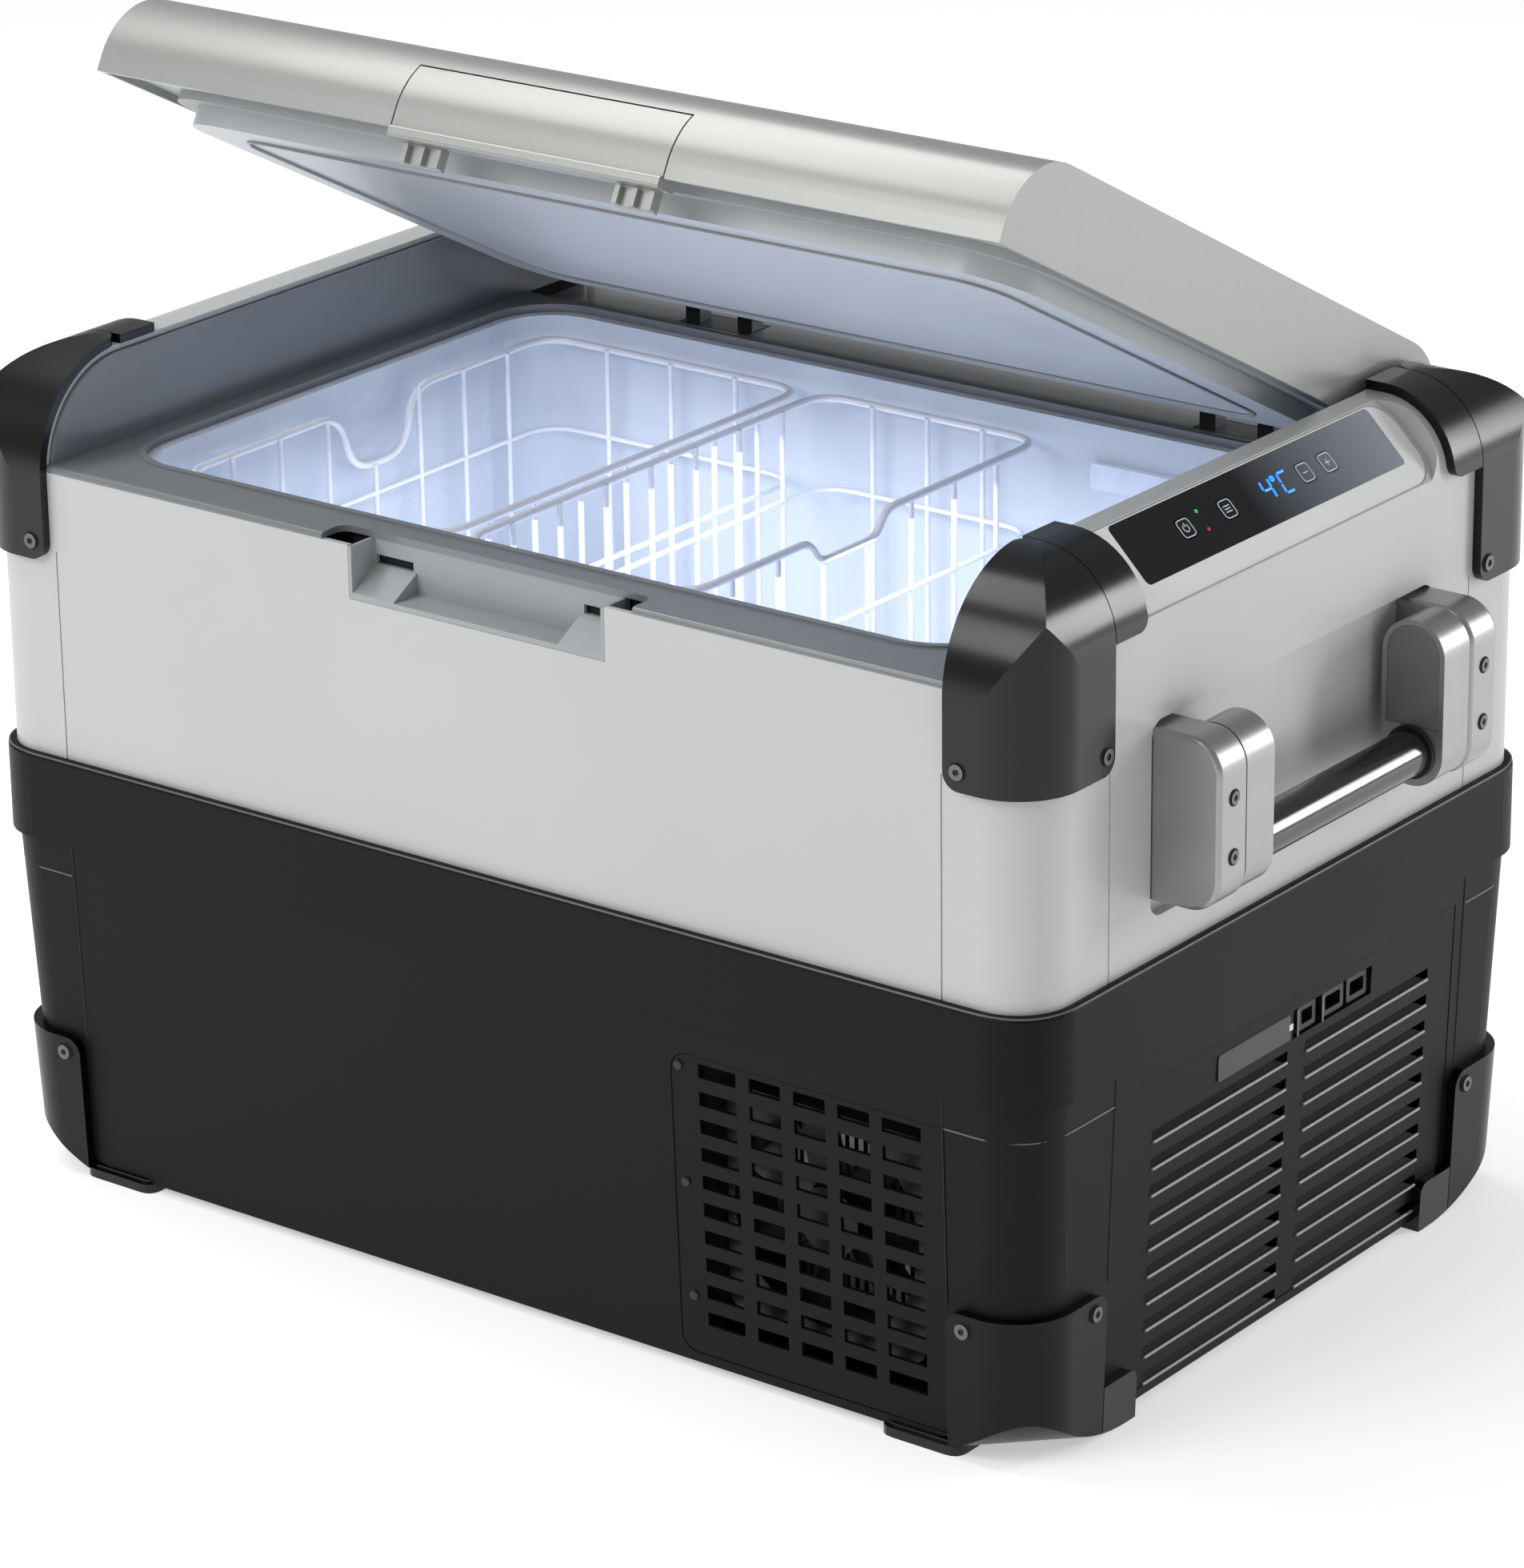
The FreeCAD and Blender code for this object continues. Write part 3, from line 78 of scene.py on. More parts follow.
def make_camera():
    """A long lens, looking down on the right-hand front corner."""
    azimuth, elevation, roll = (math.radians(angle) for angle in (AZIMUTH, ELEVATION, ROLL))
    back = Vector((math.sin(azimuth) * math.cos(elevation), -math.cos(azimuth) * math.cos(elevation),
                   math.sin(elevation)))
    level = Vector((math.cos(azimuth), math.sin(azimuth), 0))
    upright = back.cross(level)
    right = math.cos(roll) * level + math.sin(roll) * upright
    up = -math.sin(roll) * level + math.cos(roll) * upright
    camera = bpy.data.objects.new("Camera", bpy.data.cameras.new("Camera"))
    bpy.context.scene.collection.objects.link(camera)
    turn = Matrix((right, up, back)).transposed().to_4x4()
    camera.matrix_world = Matrix.Translation((CAMERA_AIM + back * CAMERA_DISTANCE) * MM) @ turn
    camera.data.sensor_width = SENSOR_WIDTH
    camera.data.lens = FOCAL_LENGTH
    camera.data.clip_start, camera.data.clip_end = 0.1, 100
    bpy.context.scene.camera = camera


# ---------------------------------------------------------------- finishes
GLOSS_DRIFT, LEAST_ROUGH = 0.05, 0.02


def linear(*channels):
    """Display colour, 0 to 255, as the linear values a shader takes (the sRGB curve)."""
    return tuple(((c / 255 + 0.055) / 1.055) ** 2.4 if c > 10 else c / 3294.6 for c in channels)


def textured(nodes, link, kind, size, stretch):
    """A 3-D noise or cell texture whose features are about size millimetres across."""
    place = nodes.new("ShaderNodeTexCoord")
    warp = nodes.new("ShaderNodeMapping")
    warp.inputs["Scale"].default_value = stretch
    link(place.outputs["Object"], warp.inputs["Vector"])
    texture = nodes.new(kind)
    texture.inputs["Scale"].default_value = 1 / (size * MM)
    link(warp.outputs["Vector"], texture.inputs["Vector"])
    return texture


def surface(name, rgb, rough, drift=0.05, patch=70, pore=0.7, relief=0.006, cells=False,
            stretch=(1, 1, 1), **sockets):
    """A finish whose colour and roughness drift over patches, over a fine relief of pores (mm)."""
    material = bpy.data.materials.new(name)
    material.use_nodes = True
    nodes, link = material.node_tree.nodes, material.node_tree.links.new
    shader = nodes["Principled BSDF"]
    for socket, value in sockets.items():
        shader.inputs[socket.replace("_", " ")].default_value = value
    cloud = textured(nodes, link, "ShaderNodeTexNoise", patch, stretch)
    cloud.inputs["Detail"].default_value = 5
    shade = nodes.new("ShaderNodeValToRGB")
    colour = Vector(linear(*rgb))
    for element, place, level in zip(shade.color_ramp.elements, (0.3, 0.7), (1 - drift, 1 + drift)):
        element.position = place
        element.color = (*(colour * level), 1)
    link(cloud.outputs["Fac"], shade.inputs["Fac"])
    link(shade.outputs["Color"], shader.inputs["Base Color"])
    gloss = nodes.new("ShaderNodeMapRange")
    gloss.inputs["To Min"].default_value = max(rough - GLOSS_DRIFT, LEAST_ROUGH)
    gloss.inputs["To Max"].default_value = rough + GLOSS_DRIFT
    link(cloud.outputs["Fac"], gloss.inputs["Value"])
    link(gloss.outputs["Result"], shader.inputs["Roughness"])
    kind = "ShaderNodeTexVoronoi" if cells else "ShaderNodeTexNoise"
    pores = textured(nodes, link, kind, pore, stretch)
    bump = nodes.new("ShaderNodeBump")
    bump.inputs["Distance"].default_value = relief * MM
    link(pores.outputs["Distance" if cells else "Fac"], bump.inputs["Height"])
    link(bump.outputs["Normal"], shader.inputs["Normal"])
    return material


def lit(name, rgb, strength):
    """A light guide: colour drifting a little under a soft glow."""
    material = surface(name, rgb, 0.3, patch=6)
    shader = material.node_tree.nodes["Principled BSDF"]
    shade = material.node_tree.nodes["Color Ramp"]
    material.node_tree.links.new(shade.outputs["Color"], shader.inputs["Emission Color"])
    shader.inputs["Emission Strength"].default_value = strength
    return material


# The pale colour and the span it spreads over are a painted reflection on the dark glass.
GLASS_DARK, GLASS_REFLECTION = (4, 6, 12), (150, 156, 168)
GLASS_REFLECTION_SPAN = (-10, 114)


def smoked_glass(name):
    """Dark glass over the display, with a painted reflection that pales it towards its rear end."""
    material = surface(name, GLASS_DARK, 0.08, relief=0.001, Specular_IOR_Level=0.4, IOR=1.5)
    nodes, link = material.node_tree.nodes, material.node_tree.links.new
    shader = nodes["Principled BSDF"]
    coordinates = nodes.new("ShaderNodeTexCoord")
    split = nodes.new("ShaderNodeSeparateXYZ")
    link(coordinates.outputs["Object"], split.inputs["Vector"])
    along = nodes.new("ShaderNodeMapRange")
    for end, place in zip(("From Min", "From Max"), GLASS_REFLECTION_SPAN):
        along.inputs[end].default_value = place * MM
    link(split.outputs["Y"], along.inputs["Value"])
    painted_reflection = nodes.new("ShaderNodeValToRGB")
    for element, rgb in zip(painted_reflection.color_ramp.elements, (GLASS_DARK, GLASS_REFLECTION)):
        element.color = (*linear(*rgb), 1)
    link(along.outputs["Result"], painted_reflection.inputs["Fac"])
    link(painted_reflection.outputs["Color"], shader.inputs["Base Color"])
    return material


# One finish for each material slot of the part.
FINISH = {
    "light_casing": surface("light_casing", (190, 191, 191), 0.38, drift=0.025, patch=160,
                            Coat_Weight=0.1),
    "lid_shell": surface("lid_shell", (158, 159, 156), 0.33, drift=0.03, patch=1.2, pore=0.5,
                         relief=0.003, Metallic=0.3, Coat_Weight=0.1),
    "dark_casing": surface("dark_casing", (17, 17, 18), 0.46, drift=0.08, pore=0.9, relief=0.02,
                           cells=True, Specular_IOR_Level=0.14),
    "guard_black": surface("guard_black", (7, 7, 8), 0.24, drift=0.12, pore=0.8, relief=0.006,
                           Specular_IOR_Level=0.4),
    "frame_grey": surface("frame_grey", (120, 123, 126), 0.3, drift=0.05, patch=90, Coat_Weight=0.2),
    "liner_white": surface("liner_white", (206, 214, 228), 0.28, drift=0.02, patch=120, relief=0.004),
    # The foam shows only in the frame gap; its dark grey is painted shade for the shadow there.
    "foam": surface("foam", (34, 34, 36), 0.9, drift=0.12, patch=8, pore=1.6, relief=0.3, cells=True),
    "evaporator": surface("evaporator", (176, 180, 184), 0.35, patch=30, stretch=(1, 1, 0.1),
                          Metallic=0.9),
    "handle_metal": surface("handle_metal", (160, 161, 162), 0.36, drift=0.04, patch=25, pore=0.5,
                            relief=0.01, Metallic=0.85),
    "handle_inset": surface("handle_inset", (128, 130, 132), 0.36, drift=0.05, patch=20, Metallic=0.6),
    "tube_chrome": surface("tube_chrome", (32, 27, 33), 0.16, drift=0.08, patch=15, relief=0.001,
                           stretch=(1, 0.1, 1), Specular_IOR_Level=0.7),
    "steel": surface("steel", (188, 189, 190), 0.22, patch=6, relief=0.003, Metallic=1.0),
    "gasket": surface("gasket", (66, 68, 71), 0.62, drift=0.1, patch=20, relief=0.02),
    "compressor_black": surface("compressor_black", (20, 20, 22), 0.4, drift=0.1, relief=0.02),
    "copper": surface("copper", (190, 112, 72), 0.3, drift=0.15, patch=20, Metallic=1.0),
    "electronics": surface("electronics", (24, 72, 44), 0.45, drift=0.2, patch=5, pore=2, cells=True),
    "inlet_black": surface("inlet_black", (16, 16, 18), 0.4, drift=0.1, patch=10),
    "display_gloss": smoked_glass("display_gloss"),
    "basket_white": surface("basket_white", (236, 237, 248), 0.25, drift=0.03, patch=25, relief=0.01,
                            Coat_Weight=0.4),
}
# Finishes of single pieces: lines and lips, screen marks, then CAD nodes that differ from their slot.
SHADOW_LINE = surface("shadow_line", (14, 14, 15), 0.7, drift=0.15, patch=9)
# Paler grey for the band's top edge and the step lines: a painted highlight.
EDGE_HIGHLIGHT = surface("painted_edge_highlight", (92, 93, 95), 0.32, drift=0.06, patch=30)
# Light grey of the vent lips: a painted highlight on their lower edge.
LIP_HIGHLIGHT = surface("painted_lip_highlight", (140, 141, 144), 0.3, drift=0.06, patch=30)
SOCKET_RIB = surface("socket_rib", (140, 143, 147), 0.3, drift=0.1, patch=6)
SOCKET_GLOSS = surface("socket_gloss", (34, 36, 41), 0.2, drift=0.1, patch=12)
ICON = lit("icon", (188, 194, 204), 0.25)
DIGITS = lit("digits", (40, 132, 240), 1.2)
GREEN = lit("status_green", (60, 170, 70), 0.7)
RED = lit("status_red", (170, 30, 45), 0.6)
COOL_LAMP = lit("cool_lamp", (196, 206, 226), 0.25)
KEEPER_GREY = surface("keeper_grey", (158, 161, 163), 0.4, drift=0.03, patch=60)
LID_PANEL = surface("lid_panel", (178, 181, 183), 0.34, drift=0.03, patch=110, Coat_Weight=0.1)
BEZEL_WHITE = surface("bezel_white", (240, 241, 241), 0.36, drift=0.02, patch=80)
LID_EDGE = surface("lid_edge", (168, 170, 171), 0.5, drift=0.05, patch=60)
SCREW_STEEL = surface("screw_steel", (104, 105, 107), 0.24, patch=6, relief=0.003, Metallic=0.9)
HINGE_STEEL = surface("hinge_steel", (74, 76, 79), 0.4, drift=0.1, patch=12, Metallic=0.7)
# Near-black slats inside the vent slots: painted shade.
SLAT_SHADE = surface("slat_painted_shade", (15, 15, 16), 0.5, drift=0.1, patch=30, Specular_IOR_Level=0.12)
LOWER_GUARD = surface("lower_guard", (4, 4, 5), 0.3, drift=0.12, pore=0.8, relief=0.006,
                      Specular_IOR_Level=0.22)
OWN_FINISH = {
    "interior_light": COOL_LAMP, "latch_keeper": KEEPER_GREY, "control_bezel": BEZEL_WHITE,
    "lid_liner": LID_PANEL, "lid_foam": LID_EDGE, "lid_gasket": LID_EDGE, "screws": SCREW_STEEL,
    "hinge_brackets": HINGE_STEEL, "lid_hinge_leaves": HINGE_STEEL, "hinge_pins": HINGE_STEEL,
    "lower_guard_front_left": LOWER_GUARD, "lower_guard_front_right": LOWER_GUARD,
    "lower_guard_rear_left": LOWER_GUARD, "lower_guard_rear_right": LOWER_GUARD,
}


def dress_cad_nodes():
    """Gives every CAD node its slot's finish, or its own."""
    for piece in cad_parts.values():
        for slot in piece.material_slots:
            slot.material = FINISH.get(slot.material.name.split(".")[0], slot.material)
    for name, finish in OWN_FINISH.items():
        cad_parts[name].material_slots[0].material = finish


# ---------------------------------------------------------------- mesh tools
def finished(piece, body, slot, finish=None):
    """Links a new piece, dresses it in its finish or else its slot's finish, and ties it to its body."""
    bpy.context.scene.collection.objects.link(piece)
    piece.data.materials.append(finish or FINISH[slot])
    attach(piece, body)
    return piece


SHARED_RUN, END_RUN = 0.49, 0.98


def rounded(points, radius, closed=False, steps=6):
    """The path with each corner replaced by an arc-like bend of about the given radius.

    A bend uses at most SHARED_RUN of a run that it shares with the next bend, or END_RUN of an open end.
    """
    path = [Vector(point) for point in points]
    count = len(path)
    bent = []
    for index, corner in enumerate(path):
        if not closed and index in (0, count - 1):
            bent.append(corner)
            continue
        before, after = path[index - 1] - corner, path[(index + 1) % count] - corner
        first = END_RUN if not closed and index == 1 else SHARED_RUN
        last = END_RUN if not closed and index == count - 2 else SHARED_RUN
        reach = min(radius, before.length * first, after.length * last)
        start, end = corner + before.normalized() * reach, corner + after.normalized() * reach
        for step in range(steps + 1):
            part = step / steps
            bent.append((1 - part) ** 2 * start + 2 * part * (1 - part) * corner + part ** 2 * end)
    return bent


def wires(name, runs, radius, body, slot, finish=None, place=HERE):
    """Round wires or beads along runs of (points, closed), as one piece."""
    curve = bpy.data.curves.new(name, "CURVE")
    curve.dimensions = "3D"
    curve.bevel_depth = radius * MM
    curve.bevel_resolution = 2
    curve.use_fill_caps = True
    for points, closed in runs:
        spline = curve.splines.new("POLY")
        spline.points.add(len(points) - 1)
        spline.use_cyclic_u = closed
        for knot, point in zip(spline.points, points):
            knot.co = (*(METRES @ place @ Vector(point)), 1)
    return finished(bpy.data.objects.new(name, curve), body, slot, finish)


def meshed(name, build, body, slot, finish=None):
    """A piece from a function that fills a bmesh in millimetres."""
    shape = bmesh.new()
    build(shape)
    bmesh.ops.recalc_face_normals(shape, faces=shape.faces)
    shape.transform(METRES)
    mesh = bpy.data.meshes.new(name)
    shape.to_mesh(mesh)
    shape.free()
    return finished(bpy.data.objects.new(name, mesh), body, slot, finish)


def plates(name, outlines, body, slot, bevel=0.3, finish=None):
    """Closed plates with rounded upper edges, from (outline, low, high, place) each."""
    def build(shape):
        for outline, low, high, place in outlines:
            base = shape.faces.new([shape.verts.new((u, v, low)) for u, v in outline])
            grown = bmesh.ops.extrude_face_region(shape, geom=[base])["geom"]
            top = [part for part in grown if isinstance(part, bmesh.types.BMVert)]
            bmesh.ops.translate(shape, verts=top, vec=(0, 0, high - low))
            made = set(base.verts) | set(top)
            rim = [edge for edge in shape.edges if edge.verts[0] in top and edge.verts[1] in top]
            fresh = bmesh.ops.bevel(shape, geom=rim, offset=bevel, segments=2, affect="EDGES")
            made |= set(fresh["verts"])
            bmesh.ops.transform(shape, matrix=place, verts=[vert for vert in made if vert.is_valid])
    return meshed(name, build, body, slot, finish)


def circle(place, radius, height=0, steps=24):
    """Points round the local z of a place."""
    turns = [step * math.tau / steps for step in range(steps)]
    return [place @ Vector((radius * math.cos(turn), radius * math.sin(turn), height)) for turn in turns]


def turned(name, profile, places, body, slot, finish=None, sides=28):
    """A profile of (radius, height) spun about the local z of each place, closed at both ends."""
    def build(shape):
        for place in places:
            rings = [[shape.verts.new(point) for point in circle(place, radius, height, sides)]
                     for radius, height in profile]
            for ring, above in zip(rings, rings[1:]):
                for turn in range(sides):
                    after = (turn + 1) % sides
                    shape.faces.new((ring[turn], ring[after], above[after], above[turn]))
            shape.faces.new(rings[0][::-1])
            shape.faces.new(rings[-1])
    return meshed(name, build, body, slot, finish)


def oblong(width, height, radius, middle=(0, 0)):
    """Outline of a rounded rectangle."""
    u, v = width / 2, height / 2
    corners = [(-u, -v, 0), (u, -v, 0), (u, v, 0), (-u, v, 0)]
    return [(point.x + middle[0], point.y + middle[1]) for point in rounded(corners, radius, True, 4)]


def facing(direction, at):
    """A place whose local z points along the given direction."""
    return Matrix.Translation(at) @ Vector(direction).to_track_quat("Z", "Y").to_matrix().to_4x4()


# ---------------------------------------------------------------- baskets
WIRE, RAIL, MESH_PITCH = 1.5, 2.2, 40
TOP_RING, LOW_RING = 50, 22
RAIL_BEND, RING_BEND, UPRIGHT_BEND = 20, 22, 9
DIP_RAMP = 1.35


def spread(low, high, pitch):
    """Even places strictly between two limits, about a pitch apart."""
    count = max(round((high - low) / pitch), 1)
    return [low + (high - low) * step / count for step in range(1, count)]


def basket(node, body, dip_side, dip_middle, dip_half, dip_depth):
    """Coated wire basket: a bent top rail with a hand dip, rings below it and U-shaped uprights.

    The dip is on the left (dip_side -1) or right (1) rail, about dip_middle in y.
    """
    low, high = limits(node)
    west, east = low.x + RAIL, high.x - RAIL
    front, rear = low.y + RAIL, high.y - RAIL
    top, base = high.z - RAIL, low.z + WIRE
    dip = [(dip_middle + step * dip_half, top if edge else top - dip_depth)
           for step, edge in ((-DIP_RAMP, True), (-1, False), (1, False), (DIP_RAMP, True))]
    dip_x = west if dip_side < 0 else east
    corners = [(west, front), (east, front), (east, rear), (west, rear)]
    rail = [Vector((x, y, top)) for x, y in corners]
    notch = [Vector((dip_x, y, z)) for y, z in dip]
    rail = rail[:2] + notch + rail[2:] if dip_side > 0 else rail + notch[::-1]
    left, right, near, far = west + RAIL, east - RAIL, front + RAIL, rear - RAIL
    ring = [(left, near), (right, near), (right, far), (left, far)]
    runs = []
    for height in (top - TOP_RING, (top + base) / 2, base + LOW_RING):
        runs.append((rounded([(x, y, height) for x, y in ring], RING_BEND, True), True))
    for y in spread(front, rear, MESH_PITCH):
        near_dip = abs(y - dip_middle) < dip_half
        start, end = (top - dip_depth if near_dip and side == dip_side else top for side in SIDES)
        upright = [(left, y, start), (left, y, base), (right, y, base), (right, y, end)]
        runs.append((rounded(upright, UPRIGHT_BEND), False))
    crossing = base + 2 * WIRE
    for x in spread(west, east, MESH_PITCH):
        upright = [(x, near, top), (x, near, crossing), (x, far, crossing), (x, far, top)]
        runs.append((rounded(upright, UPRIGHT_BEND), False))
    grid = wires(body + "_wires", runs, WIRE, body, "basket_white")
    rim = wires(body + "_rail", [(rounded(rail, RAIL_BEND, True), True)], RAIL, body, "basket_white")
    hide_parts(node)
    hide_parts(node)


# ---------------------------------------------------------------- casing details
SEAM_X, SEAM_FRONT_Y, SEAM_REAR_Y = 280, 154, 166
SEAM_HEIGHTS = (81, 191)
STEP_HEIGHT, STEP_PAST_SEAM, STEP_BEND = 174, 1, 34.8


def make_lower_lines():
    """Panel joints on the lower casing: upright seams, and a step line round each corner in a paler grey
    that is a painted highlight.
    """
    seams, steps = [], []
    half_x, half_y = lower_half(0, STEP_HEIGHT), lower_half(1, STEP_HEIGHT)
    for side in SIDES:
        for face in SIDES:
            seam_y = SEAM_FRONT_Y if face < 0 else SEAM_REAR_Y
            seams.append(([(side * SEAM_X, face * lower_half(1, z), z) for z in SEAM_HEIGHTS], False))
            seams.append(([(side * lower_half(0, z), face * seam_y, z) for z in SEAM_HEIGHTS], False))
            corner = [(side * (SEAM_X + STEP_PAST_SEAM), face * half_y, STEP_HEIGHT),
                      (side * half_x, face * half_y, STEP_HEIGHT),
                      (side * half_x, face * (seam_y + STEP_PAST_SEAM), STEP_HEIGHT)]
            steps.append((rounded(corner, STEP_BEND, steps=12), False))
    wires("lower_seams", seams, 0.45, "cabinet", "dark_casing", SHADOW_LINE)
    wires("lower_step_lines", steps, 0.5, "cabinet", "dark_casing", EDGE_HIGHLIGHT)


BAND_INSET, BAND_DROP, BAND_BEND = 0.7, 0.5, 38


def make_band_edge():
    """Moulded edge along the top of the belt band, as a bead whose paler grey is a painted highlight."""
    high = limits("belt_band")[1]
    x, y, z = high.x - BAND_INSET, high.y - BAND_INSET, high.z - BAND_DROP
    corners = [(-x, -y, z), (x, -y, z), (x, y, z), (-x, y, z)]
    edge = rounded(corners, BAND_BEND, True, 12)
    wires("band_edge", [(edge, True)], 0.55, "cabinet", "dark_casing", EDGE_HIGHLIGHT)


VENT_ROWS, VENT_LOW, VENT_PITCH = 10, 11, 14.6
VENT_COLUMNS = ((-120, 1), (17, 134))
SLAT_RISE, SLAT_HALF, SLAT_TILT = 9, 6.3, Vector((0.72, 0, 0.7))
SLAT_CUT, SLAT_SET_IN = 20, 1.6


def make_louvres():
    """Rolled lip and a sloping slat for every side vent slot, open at its rear end; the lips' light grey
    is a painted highlight and the slats' near black is painted shade.
    """
    lips, slats = [], []
    for row in range(VENT_ROWS):
        height = VENT_LOW + VENT_PITCH * row
        face = lower_half(0, height)
        for start, end in VENT_COLUMNS:
            lips.append(([(face, start + 1, height), (face, end - 1, height)], False))
            outline = [(start + 0.4, -SLAT_HALF), (end - 2, -SLAT_HALF), (end - SLAT_CUT, SLAT_HALF),
                       (start + 0.4, SLAT_HALF)]
            middle = (face - SLAT_SET_IN - SLAT_RISE / 2, 0, height + SLAT_RISE / 2)
            slats.append((outline, -0.5, 0.5, facing(SLAT_TILT, middle)))
    wires("vent_lips", lips, 0.9, "cabinet", "dark_casing", LIP_HIGHLIGHT)
    plates("vent_slats", slats, "cabinet", "dark_casing", bevel=0.2, finish=SLAT_SHADE)


STRIP_HEIGHT, STRIP_DEEP = 161.25, 14
COVER_WIDTH, COVER_MIDDLE, COVER_THICK = 66, -31, 0.9
MARK_Y, MARK_SIZE, RIB_PLACES = 2, 3.4, (8.5, 31.5)


def make_socket_strip():
    """Glossy cover beside the sockets, two pale ribs between them and a plain mark by the first."""
    place = facing((1, 0, 0), (lower_half(0, STRIP_HEIGHT) - 0.5, 0, 0))
    cover = oblong(COVER_WIDTH, STRIP_DEEP, 2, (COVER_MIDDLE, STRIP_HEIGHT))
    plates("socket_cover", [(cover, 0, COVER_THICK, place)], "cabinet", "dark_casing",
           finish=SOCKET_GLOSS)
    ends = (STRIP_HEIGHT - STRIP_DEEP / 2, STRIP_HEIGHT + STRIP_DEEP / 2)
    ribs = [([place @ Vector((y, z, 0.7)) for z in ends], False) for y in RIB_PLACES]
    wires("socket_ribs", ribs, 0.5, "cabinet", "dark_casing", SOCKET_RIB)
    mark = oblong(MARK_SIZE, MARK_SIZE, 0.5, (MARK_Y, STRIP_HEIGHT))
    plates("socket_mark", [(mark, COVER_THICK, COVER_THICK + 0.2, place)], "cabinet", "dark_casing",
           bevel=0.05, finish=ICON)


# Guard screws: how far out their seats are in x and y, and their height; then the block screws.
GUARD_SEATS = ((337.5, 228, 359), (333.65, 224.15, 71.5))
GUARD_SCREW_X, GUARD_SCREW_Y, GUARD_SOCKET, GUARD_SHADOW_RING = 292.5, 171, 0.48, 4.6
BLOCK_SCREW_X, BLOCK_SCREW_Y, BLOCK_SOCKET, BLOCK_SHADOW_RING = 371, 113.35, 0.36, 3.9
BLOCK_SCREW_HEIGHTS = (298, 328)
GRILLE_SCREWS = ((121, 167), (122.8, 104), (125, 42))
STRIP_SCREW = Vector((292, 150, 454))
DRIVE_RECESS = [(0.1, 0), (1.4, 0), (1.4, 0.15), (0.1, 0.15)]
SMALL_SCREW = [(0.2, 0), (2.6, 0), (2.4, 0.6), (1.6, 0.9), (0.2, 0.9)]


def make_screw_details():
    """Painted shade in the drive recess and a painted shadow ring round the seat of every screw, and the
    small screws of the grille and top strips.
    """
    seats = []
    for side in SIDES:
        for face in SIDES:
            for reach_x, reach_y, height in GUARD_SEATS:
                along_front = facing((0, face, 0), (side * GUARD_SCREW_X, face * reach_y, height))
                along_end = facing((side, 0, 0), (side * reach_x, face * GUARD_SCREW_Y, height))
                seats += [(along_front, GUARD_SOCKET, GUARD_SHADOW_RING), (along_end, GUARD_SOCKET, GUARD_SHADOW_RING)]
            for height in BLOCK_SCREW_HEIGHTS:
                on_block = facing((side, 0, 0), (side * BLOCK_SCREW_X, face * BLOCK_SCREW_Y, height))
                seats.append((on_block, BLOCK_SOCKET, BLOCK_SHADOW_RING))
    recesses = [place @ Matrix.Translation((0, 0, socket)) for place, socket, _ in seats]
    seat_shadows = [(circle(place, rim), True) for place, _, rim in seats]
    # Dark hex discs and dark rings round the heads: painted shade in the drive sockets and painted
    # shadow round the seats.
    turned("screw_recesses", DRIVE_RECESS, recesses, "cabinet", "steel", SHADOW_LINE, sides=6)
    wires("screw_shadow_rings", seat_shadows, 0.5, "cabinet", "steel", SHADOW_LINE)
    grille = [facing((0, -1, 0), (x, -lower_half(1, z), z)) for x, z in GRILLE_SCREWS]
    turned("grille_screws", SMALL_SCREW, grille, "cabinet", "steel", FINISH["compressor_black"])
    tops = [facing((0, 0, 1), (side * STRIP_SCREW.x, face * STRIP_SCREW.y, STRIP_SCREW.z))
            for side in SIDES for face in SIDES]
    turned("strip_screws", SMALL_SCREW, tops, "cabinet", "steel")


TOE_X, TOE_Y, TOE_HEIGHT, TOE_BEVEL = 263, 207, 7, 2


def make_base_toes():
    """Low toes that run on from the corner guards under the front and rear edges."""
    outline = oblong(48, 26, 8)
    toes = [(outline, 0, TOE_HEIGHT, Matrix.Translation((side * TOE_X, face * TOE_Y, 0)))
            for side in SIDES for face in SIDES]
    plates("base_toes", toes, "cabinet", "guard_black", bevel=TOE_BEVEL)


# ---------------------------------------------------------------- handles
COLLAR_X, COLLAR_Y, COLLAR_Z = 352, 75.8, 289
TUBE_RING = [(12, -1.2), (13.6, -1.2), (14, -0.6), (14, 0.6), (13.6, 1.2), (12, 1.2)]


def make_handle_details():
    """Black collar where the grip tube enters each arm."""
    for side, name in ((1, "right"), (-1, "left")):
        body = f"handle_{name}"
        collars = [facing((0, end, 0), (side * COLLAR_X, end * COLLAR_Y, COLLAR_Z)) for end in SIDES]
        turned(body + "_collars", TUBE_RING, collars, body, "inlet_black")


# ---------------------------------------------------------------- control panel
KEYS = ("power", "set", "minus", "plus")
KEY_LINE, KEY_FACE, SCREEN_FACE = -6.5, -0.4, -0.5
KEY_OUTLINE, MARK_WIDTH, DIGIT_STROKE = 9.6, 0.28, 0.7
LAMP_Y, LAMP_PROFILE = -50, [(0.1, 0), (1.1, 0), (0.9, 0.3), (0.1, 0.35)]


def on_facet(y, rise, lift=KEY_FACE):
    """A point on the control facet: along it, up its slope from the key line, and off its face."""
    return (KEY_LINE - rise, y, lift)


def arc(y, rise, radius, start, end, steps=14):
    """Points of an arc on the facet, in degrees from straight up."""
    turns = [math.radians(start + (end - start) * step / steps) for step in range(steps + 1)]
    return [on_facet(y + radius * math.sin(turn), rise + radius * math.cos(turn)) for turn in turns]


